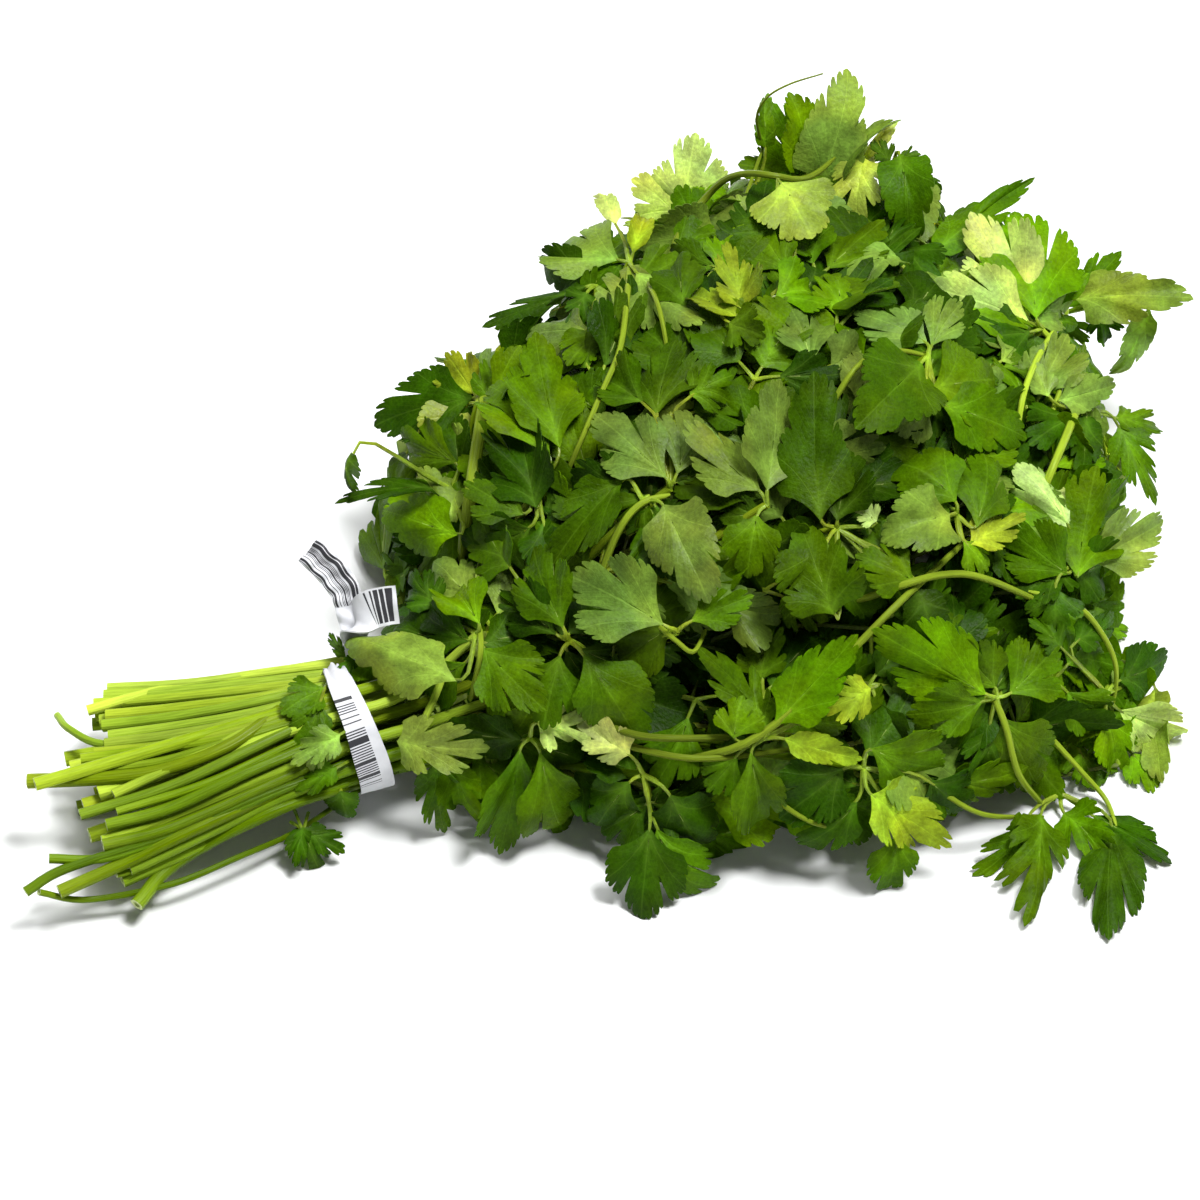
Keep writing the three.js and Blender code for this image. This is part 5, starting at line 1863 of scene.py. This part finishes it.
@dataclass
class LooseStems:
    """Stems that lie over the bundle, and the small leaves that grow on them."""

    foliage: Foliage
    stems: Stems
    half_wide: tuple[float, float] = (17.6, 33.0)  # of the bundle, at the tie and at the cut ends
    half_high: tuple[float, float] = (17.0, 14.6)
    rises: tuple[tuple[float, ...], ...] = ((-34.0, -16.0), (1.6, -3.4))  # off the bundle, by X
    routes: tuple[tuple[float, float, tuple[tuple[float, float], ...]], ...] = (
        (1.4, 1.2, ((-80, 12), (-55, 13.5), (-20, 18.5), (-6, 21))),
        (1.7, 1.5, ((-86, 5), (-60, 12), (-20, 18), (-4, 19))),
        (1.9, 1.6, ((-81, 9.5), (-60, 10.8), (-30, 14), (-6, 17))),
        (1.8, 1.6, ((-84, 7), (-60, 8.8), (-30, 12), (-6, 15))),
        (2.1, 1.8, ((-80, 3.5), (-55, 6), (-30, 9.5), (-6, 17))),
        (1.2, 1.1, ((-95, 3.5), (-91, -0.5), (-80, -5), (-60, -2), (-30, 4), (-6, 13))),
        (1.9, 1.6, ((-80, -5), (-60, -2.5), (-40, 1.5), (-6, 12))),
        (1.8, 1.5, ((-87, -9.5), (-60, -6), (-40, -2), (-6, 9))),
        (2.3, 2.0, (
            (-103, -16), (-80, -15), (-62, -12.5), (-42, -5), (-25, 7), (-10, 16), (-4, 19))),
        (1.7, 1.5, ((-77, -20), (-45, -5), (-30, 4), (-10, 13), (-4, 15))),
        (1.9, 1.6, ((-87, -26), (-60, -17.5), (-35, -6), (-4, 9))),
        (1.5, 1.3, ((-76, -25), (-50, -17), (-28, -7), (-3, 5))),
        (2.0, 1.7, ((-79, -29), (-60, -24), (-35, -12.5), (-2, 1))),
        (1.9, 1.6, ((-80, -35), (-60, -30), (-30, -17), (-2, -4))),
        (1.5, 1.3, ((-96, -39), (-80, -39), (-60, -33), (-30, -20), (-1, -8))),
        (1.6, 1.4, ((-103, -49), (-91, -42), (-60, -32), (-30, -19), (0, -9))),
        (2.2, 1.9, ((-93, -49), (-75, -41), (-50, -29), (-20, -16), (1, -11))),
        (1.1, 0.8, (
            (-99, -49), (-85, -51.5), (-60, -47), (-40, -39), (-22, -31), (-4, -19), (8, -13))),
        (2.3, 1.9, ((-70, -53), (-58, -40), (-30, -25), (-5, -17), (4, -14))),
        (1.0, 0.8, ((-76, -44), (-68, -42), (-55, -38), (-40, -31))),
        (1.9, 1.7, ((-81, 0.5), (-60, 3.0), (-35, 7.5), (-6, 14))),
        (1.8, 1.6, ((-79, -2.5), (-60, 0.2), (-35, 4.5), (-6, 12))),
        (1.7, 1.5, ((-83, -7.5), (-60, -5), (-40, -1), (-6, 10))),
        (1.6, 1.4, ((-80, -12.5), (-62, -10), (-42, -4), (-6, 7))),
    )  # radius at each end, and what the stem passes through on the sheet
    leaflets: tuple[tuple, ...] = (
        (-21, -30, -15, -44, 15, FROND, DARK, 2), (-20, -31, -8, -38, 11, FROND, DARK, 2),
        (-20, -30, -23, -42, 8, FROND, DARK, 2), (-9, -19, -7, -29, 11, ROUND, DARK, 1),
        (-14, 12, -27, 4, 14, FAN, MID, 4), (-15, 8, -20, -7, 12, FAN, MID, 4),
        (-9, -2, -24, -11, 12, FROND, GREY, 4),
        (-12, -4, -20, -13, 9, FROND, GREY, 3), (-10, -12, -23, -19, 9, FROND, MID, 3),
        (-8, 21, -13, 29, 5, FROND, DARK, 3), (-5, 21, -10, 15, 5, FROND, DARK, 4),
        (-2, 20, 4, 27, 7, FROND, DARK, 4),
        (2, 19, -10, 17, 9, ROUND, VIVID, 6), (4, 20, 9, 15, 7, ROUND, YELLOW, 5),
    )  # base across, base up, tip across, tip up, width, cut, tone, millimetres above the bundle
    seeds: tuple[int, int] = (700, 800)  # of the first stem and the first small leaf

    def on_bundle(self, across: float, up: float, above: float) -> np.ndarray:
        """A place on the bundle's near side.

        Args:
            across: Along X.
            up: Up the sheet.
            above: Millimetres off the bundle's skin.

        Returns:
            The point, kept above the surface.
        """
        best, best_out = math.inf, 0.0
        cut = np.array(self.stems.cut_centre, dtype=float)
        for out in np.arange(50.0, -60.0, -0.5):
            point = HEAP.on_sheet(across, up, out)
            share = min(max(point[0] / cut[0], -0.1), 1.25)
            middle = TIE_CENTRE + (cut - TIE_CENTRE) * share
            wide, high = (a + (b - a) * share for a, b in (self.half_wide, self.half_high))
            away = math.hypot((point[1] - middle[1]) / wide, (point[2] - middle[2]) / high)
            if away <= 1:
                best_out = out
                break
            if away < best:
                best, best_out = away, out
        lowest_out = (2.5 - HEAP.on_sheet(across, up, 0.0)[2]) / HEAP.sheet_out[2]
        return HEAP.on_sheet(across, up, max(best_out + above, lowest_out))

    def build(self) -> None:
        """Build the stems and the small leaves."""
        for index, (radius, end_radius, spots) in enumerate(self.routes):
            rng = np.random.default_rng(self.seeds[0] + index)
            points = [self.on_bundle(x, h, float(np.interp(x, *self.rises))) for x, h in spots]
            swell = 1 + 0.05 * np.sin(np.linspace(0, 8, 41) + index)
            radii = np.linspace(radius, end_radius, 41) * swell
            colours = self.stems.colours(41, min(max((spots[1][1] + 50) / 62, 0.0), 1.0), rng)
            line, flatten = smooth_path(points, 41), rng.uniform(0.86, 1.0)
            shell = self.stems.stem.sweep(line, radii, colours, 0.05, 5, flatten)
            shell.to_piece(f"fresh_loose_stem_{index + 1:02d}", self.stems.skins, "stem")
        parts = []
        out = HEAP.sheet_out
        for index, (x, up, tip_x, tip_up, width, cut, tone, above) in enumerate(self.leaflets):
            rng = np.random.default_rng(self.seeds[1] + index)
            base, tip = self.on_bundle(x, up, above), self.on_bundle(tip_x, tip_up, above)
            lean = float((tip - base) @ out)
            tip = tip - out * (lean - min(max(lean, -6.0), 6.0))
            bends = (rng.uniform(*most) for most in ((-20, 20), (15, 50), (0, 16), (-15, 15)))
            lie = Lie(base, tip, width, unit(out + UP * 0.3), *bends)
            parts.append(self.foliage.medium.lay(lie, cut, tinted(tone, base, rng), rng))
            root = base - (tip - base) * 0.35 - out * (above + 4)
            parts.append(self.foliage.stalk_to(root, base, tip, 0.6))
        Shell.join(parts).to_piece("fresh_small_leaves_at_tie", self.foliage.skins, "leaf_green")


# ---- leaf stalks that show -----------------------------------------------------------------------


@dataclass
class LeafStalks:
    """The leaf stalks that arch over the heap and show between its leaves."""

    stems: Stems
    form: TubeForm
    rise: float = 0.5  # mm above the heap's skin between the ends
    arcs: tuple[tuple[float, float, float, float, tuple[tuple[float, ...], ...]], ...] = (
        (1.2, 0.9, 9, -8, (
            (90, 142), (94, 152, -6), (100, 160, -29), (107, 166.8, -29), (114, 168.6, -36),
            (121.5, 167.8, -44), (129.2, 166.7, -40), (135, 168.8, -26), (141, 174))),
        (1.0, 0.8, 9, 0, ((138, 96), (145, 107), (152, 112.5), (160, 113.5), (168, 112))),
        (1.0, 0.7, 9, 7, ((198, 41), (212, 37), (220, 29), (225, 18), (224, 4))),
        (1.1, 0.9, 3, 3, ((187, 10), (191, 0), (195, -14), (203, -24))),
        (2.2, 1.9, 7, 14, ((35, 106), (33, 92), (30, 72), (27, 50))),
        (1.3, 1.0, 12, 3, ((67, 40), (74, 58), (81, 67), (90, 70))),
        (1.1, 0.8, 0, 12, ((78, 141), (77, 128), (75, 114), (70, 102), (64, 88), (57, 72))),
        (0.9, 0.6, 6, 8, ((84, 33), (92, 26), (97, 23), (101, 30))),
        (1.3, 1.0, 10, 14, (
            (92, -10), (109, -6), (121, 1), (133, 12), (148, 27), (160, 39), (180, 57))),
        (1.3, 0.9, 12, 12, ((146, 38), (160, 43), (172, 46), (184, 45), (206, 36))),
        (1.4, 1.2, 8, 14, ((216, 101), (211, 90), (206, 79), (199, 62))),
        (1.0, 0.8, 2, 12, ((203, 122), (208, 115), (209, 104), (204, 90))),
        (1.2, 0.9, 0, 12, ((213, 128), (209, 122), (202, 112), (197, 100), (195, 86))),
        (1.0, 0.8, 4, 12, ((33, 30), (33, 22), (30, 8))),
        (0.9, 0.7, 4, 12, ((83, 136), (87, 126), (90, 110))),
        (0.9, 0.6, 8, 6, ((118, -19), (132, -28), (146, -31))),
        (0.9, 0.7, 8, 4, ((168, -17), (184, -26), (203, -27))),
        (1.0, 0.7, 8, 2, ((203, -1), (215, -14), (222, -22), (225, -30))),
        (1.3, 1.0, 10, 14, ((58, 7), (76, -1), (92, -3), (128, -2))),
        (1.2, 0.9, 12, 12, ((62, 0), (84, -7), (102, -9), (130, -6))),
        (0.8, 0.6, 10, 2, ((104, 142), (112, 158), (119, 177))),
    )  # radius and sink at each end, and what the stalk passes through on the sheet
    # painted shade: these arcs run low between the leaves and take a darker colour
    shaded: tuple[int, ...] = (18, 19)  # arcs that run low between the leaves
    shade: float = 0.55  # of the others' colour
    seed: int = 900  # of the first arc
    tendril: tuple[tuple[float, float, float], ...] = (
        (119, 177, 2), (117, 186, 0), (120, 192, 0), (127, 196, 0), (137, 199, 0),
    )

    def build(self) -> None:
        """Build the stalks in one piece."""
        parts = []
        for index, (radius, end_radius, sink, end_sink, spots) in enumerate(self.arcs):
            rng = np.random.default_rng(self.seed + index)
            sinks = [sink] + [-self.rise] * (len(spots) - 2) + [end_sink]
            places = [HEAP.place(*(*spot, sink)[:3]) for spot, sink in zip(spots, sinks)]
            colour = np.array(linear(self.stems.arc_colour)[:3]) * rng.uniform(0.75, 1.1)
            shade = self.shade if index in self.shaded else 1.0
            # painted light and shade by place along X, with painted shade on the low arcs
            colour = colour * np.interp(spots[0][0], *PAINTED_LIGHT_BY_X) * shade
            taper = 1 - 0.55 * np.abs(np.linspace(-1, 1, 25)) ** 12
            radii = np.linspace(radius, end_radius, 25) * taper
            tint = np.tile(colour, (25, 1))
            parts.append(self.form.sweep(smooth_path(places, 25), radii, tint, 0.05, 5))
        line = smooth_path([HEAP.place(*spot) for spot in self.tendril], 25)
        parts.append(self.form.sweep(line, np.linspace(0.55, 0.25, 25), tint))
        Shell.join(parts).to_piece("fresh_leaf_stalks", self.stems.skins, "stem")


# ---- studio --------------------------------------------------------------------------------------


@dataclass
class Studio:
    """Pale floor, soft light and the camera."""

    target: tuple[float, float, float] = (69.0, 38.4, 25.0)  # across, up and out on the sheet
    elevation: float = 50.0
    distance: float = 4.2  # metres from the target, as the lamp's place is
    lens: float = 420.0
    lamp: tuple[float, float, float] = (0.0, 0.3, 1.3)

    def camera(self) -> None:
        """Set up the camera."""
        data = bpy.data.cameras.new("camera")
        data.lens = self.lens
        data.sensor_width = 36.0
        camera = bpy.data.objects.new("camera", data)
        bpy.context.collection.objects.link(camera)
        aim = (HEAP.on_sheet(*self.target) + DATUM) * MM
        lift = math.radians(self.elevation)
        camera.location = aim + self.distance * np.array([0.0, -math.cos(lift), math.sin(lift)])
        camera.rotation_euler = (math.radians(90 - self.elevation), 0.0, 0.0)
        bpy.context.scene.camera = camera

    def lights(self) -> None:
        """Set up the floor, the world and the lights."""
        scene = bpy.context.scene
        scene.cycles.max_bounces = 5  # past these the leaves have taken up nearly all the light
        scene.cycles.diffuse_bounces = 3
        scene.cycles.transmission_bounces = 4
        scene.view_settings.view_transform = "Standard"
        scene.view_settings.look = "None"
        world = bpy.data.worlds.new("studio")
        scene.world = world
        world.use_nodes = True
        tree = world.node_tree
        height = add(tree, "SeparateXYZ", {0: add(tree, "TexCoord").outputs["Generated"]})
        fade = {0: height.outputs[2], 1: 0.02, 2: 0.35, 3: 0.9, 4: 0.13}
        level = add(tree, "MapRange", fade)
        tree.links.new(level.outputs[0], tree.nodes["Background"].inputs[0])
        sun = bpy.data.lights.new("window", "SUN")
        sun.energy = 3.6
        sun.angle = math.radians(16)
        window = bpy.data.objects.new("window", sun)
        bpy.context.collection.objects.link(window)
        window.rotation_euler = (math.radians(2), math.radians(18), 0.0)
        data = bpy.data.lights.new("top", "AREA")
        data.shape = "DISK"
        data.size = 0.9
        data.energy = 12.0
        lamp = bpy.data.objects.new("top", data)
        bpy.context.collection.objects.link(lamp)
        lamp.location = self.lamp
        aim = np.array([0.0, 0.0, 0.04]) - np.array(self.lamp)
        tilt = math.atan2(math.hypot(aim[0], aim[1]), -aim[2])
        lamp.rotation_euler = (tilt, 0.0, math.atan2(aim[1], aim[0]) - math.pi / 2)
        bpy.ops.object.select_all(action="DESELECT")
        bpy.ops.mesh.primitive_plane_add(size=30)
        floor = bpy.context.object
        floor.name = "floor"
        material, tree = new_material("pale_floor")
        matt = {"Base Color": (0.86, 0.87, 0.87, 1.0), "Roughness": 0.9}
        add(tree, "OutputMaterial", {0: add(tree, "BsdfPrincipled", matt)})
        floor.data.materials.append(material)


def main() -> None:
    """Build the bunch."""
    logging.basicConfig(level=logging.INFO, format="%(message)s")
    studio = Studio()
    studio.camera()
    studio.lights()
    upper = LeafFinish().build()
    under = LeafFinish(
        "coriander_blade_underside", pale_mix=0.45, roughness=0.58, relief=0.5, vein_lift=0.30,
        glow=0.30,
    ).build()
    forms = (LeafletForm(*sizes) for sizes in ((21, 5), (15, 4), (11, 3), (9, 2)))
    foliage = Foliage(*forms, TubeForm(5, 5, False), [upper, under])
    skins = [StemFinish().build(), CutFinish().build()]
    stems = Stems(TubeForm(16, 40, True), TubeForm(10, 24, False), skins)
    stems.build()
    foliage.build()
    TwistTie(PlateForm(72, 12), TubeForm(16, 8, False), PaperFinish().build()).build()
    LooseStems(foliage, stems).build()
    LeafStalks(stems, stems.branch).build()
    Filling(foliage).build()
    triangles = {
        piece.name: sum(len(face.vertices) - 2 for face in piece.data.polygons)
        for piece in bpy.data.objects
        if piece.name.startswith(("fresh_", "paper_"))
    }
    for name, count in triangles.items():
        LOG.info("%s: %d triangles", name, count)
    LOG.info("%d pieces, %d triangles", len(triangles), sum(triangles.values()))
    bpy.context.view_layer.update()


if __name__ == "__main__":
    main()
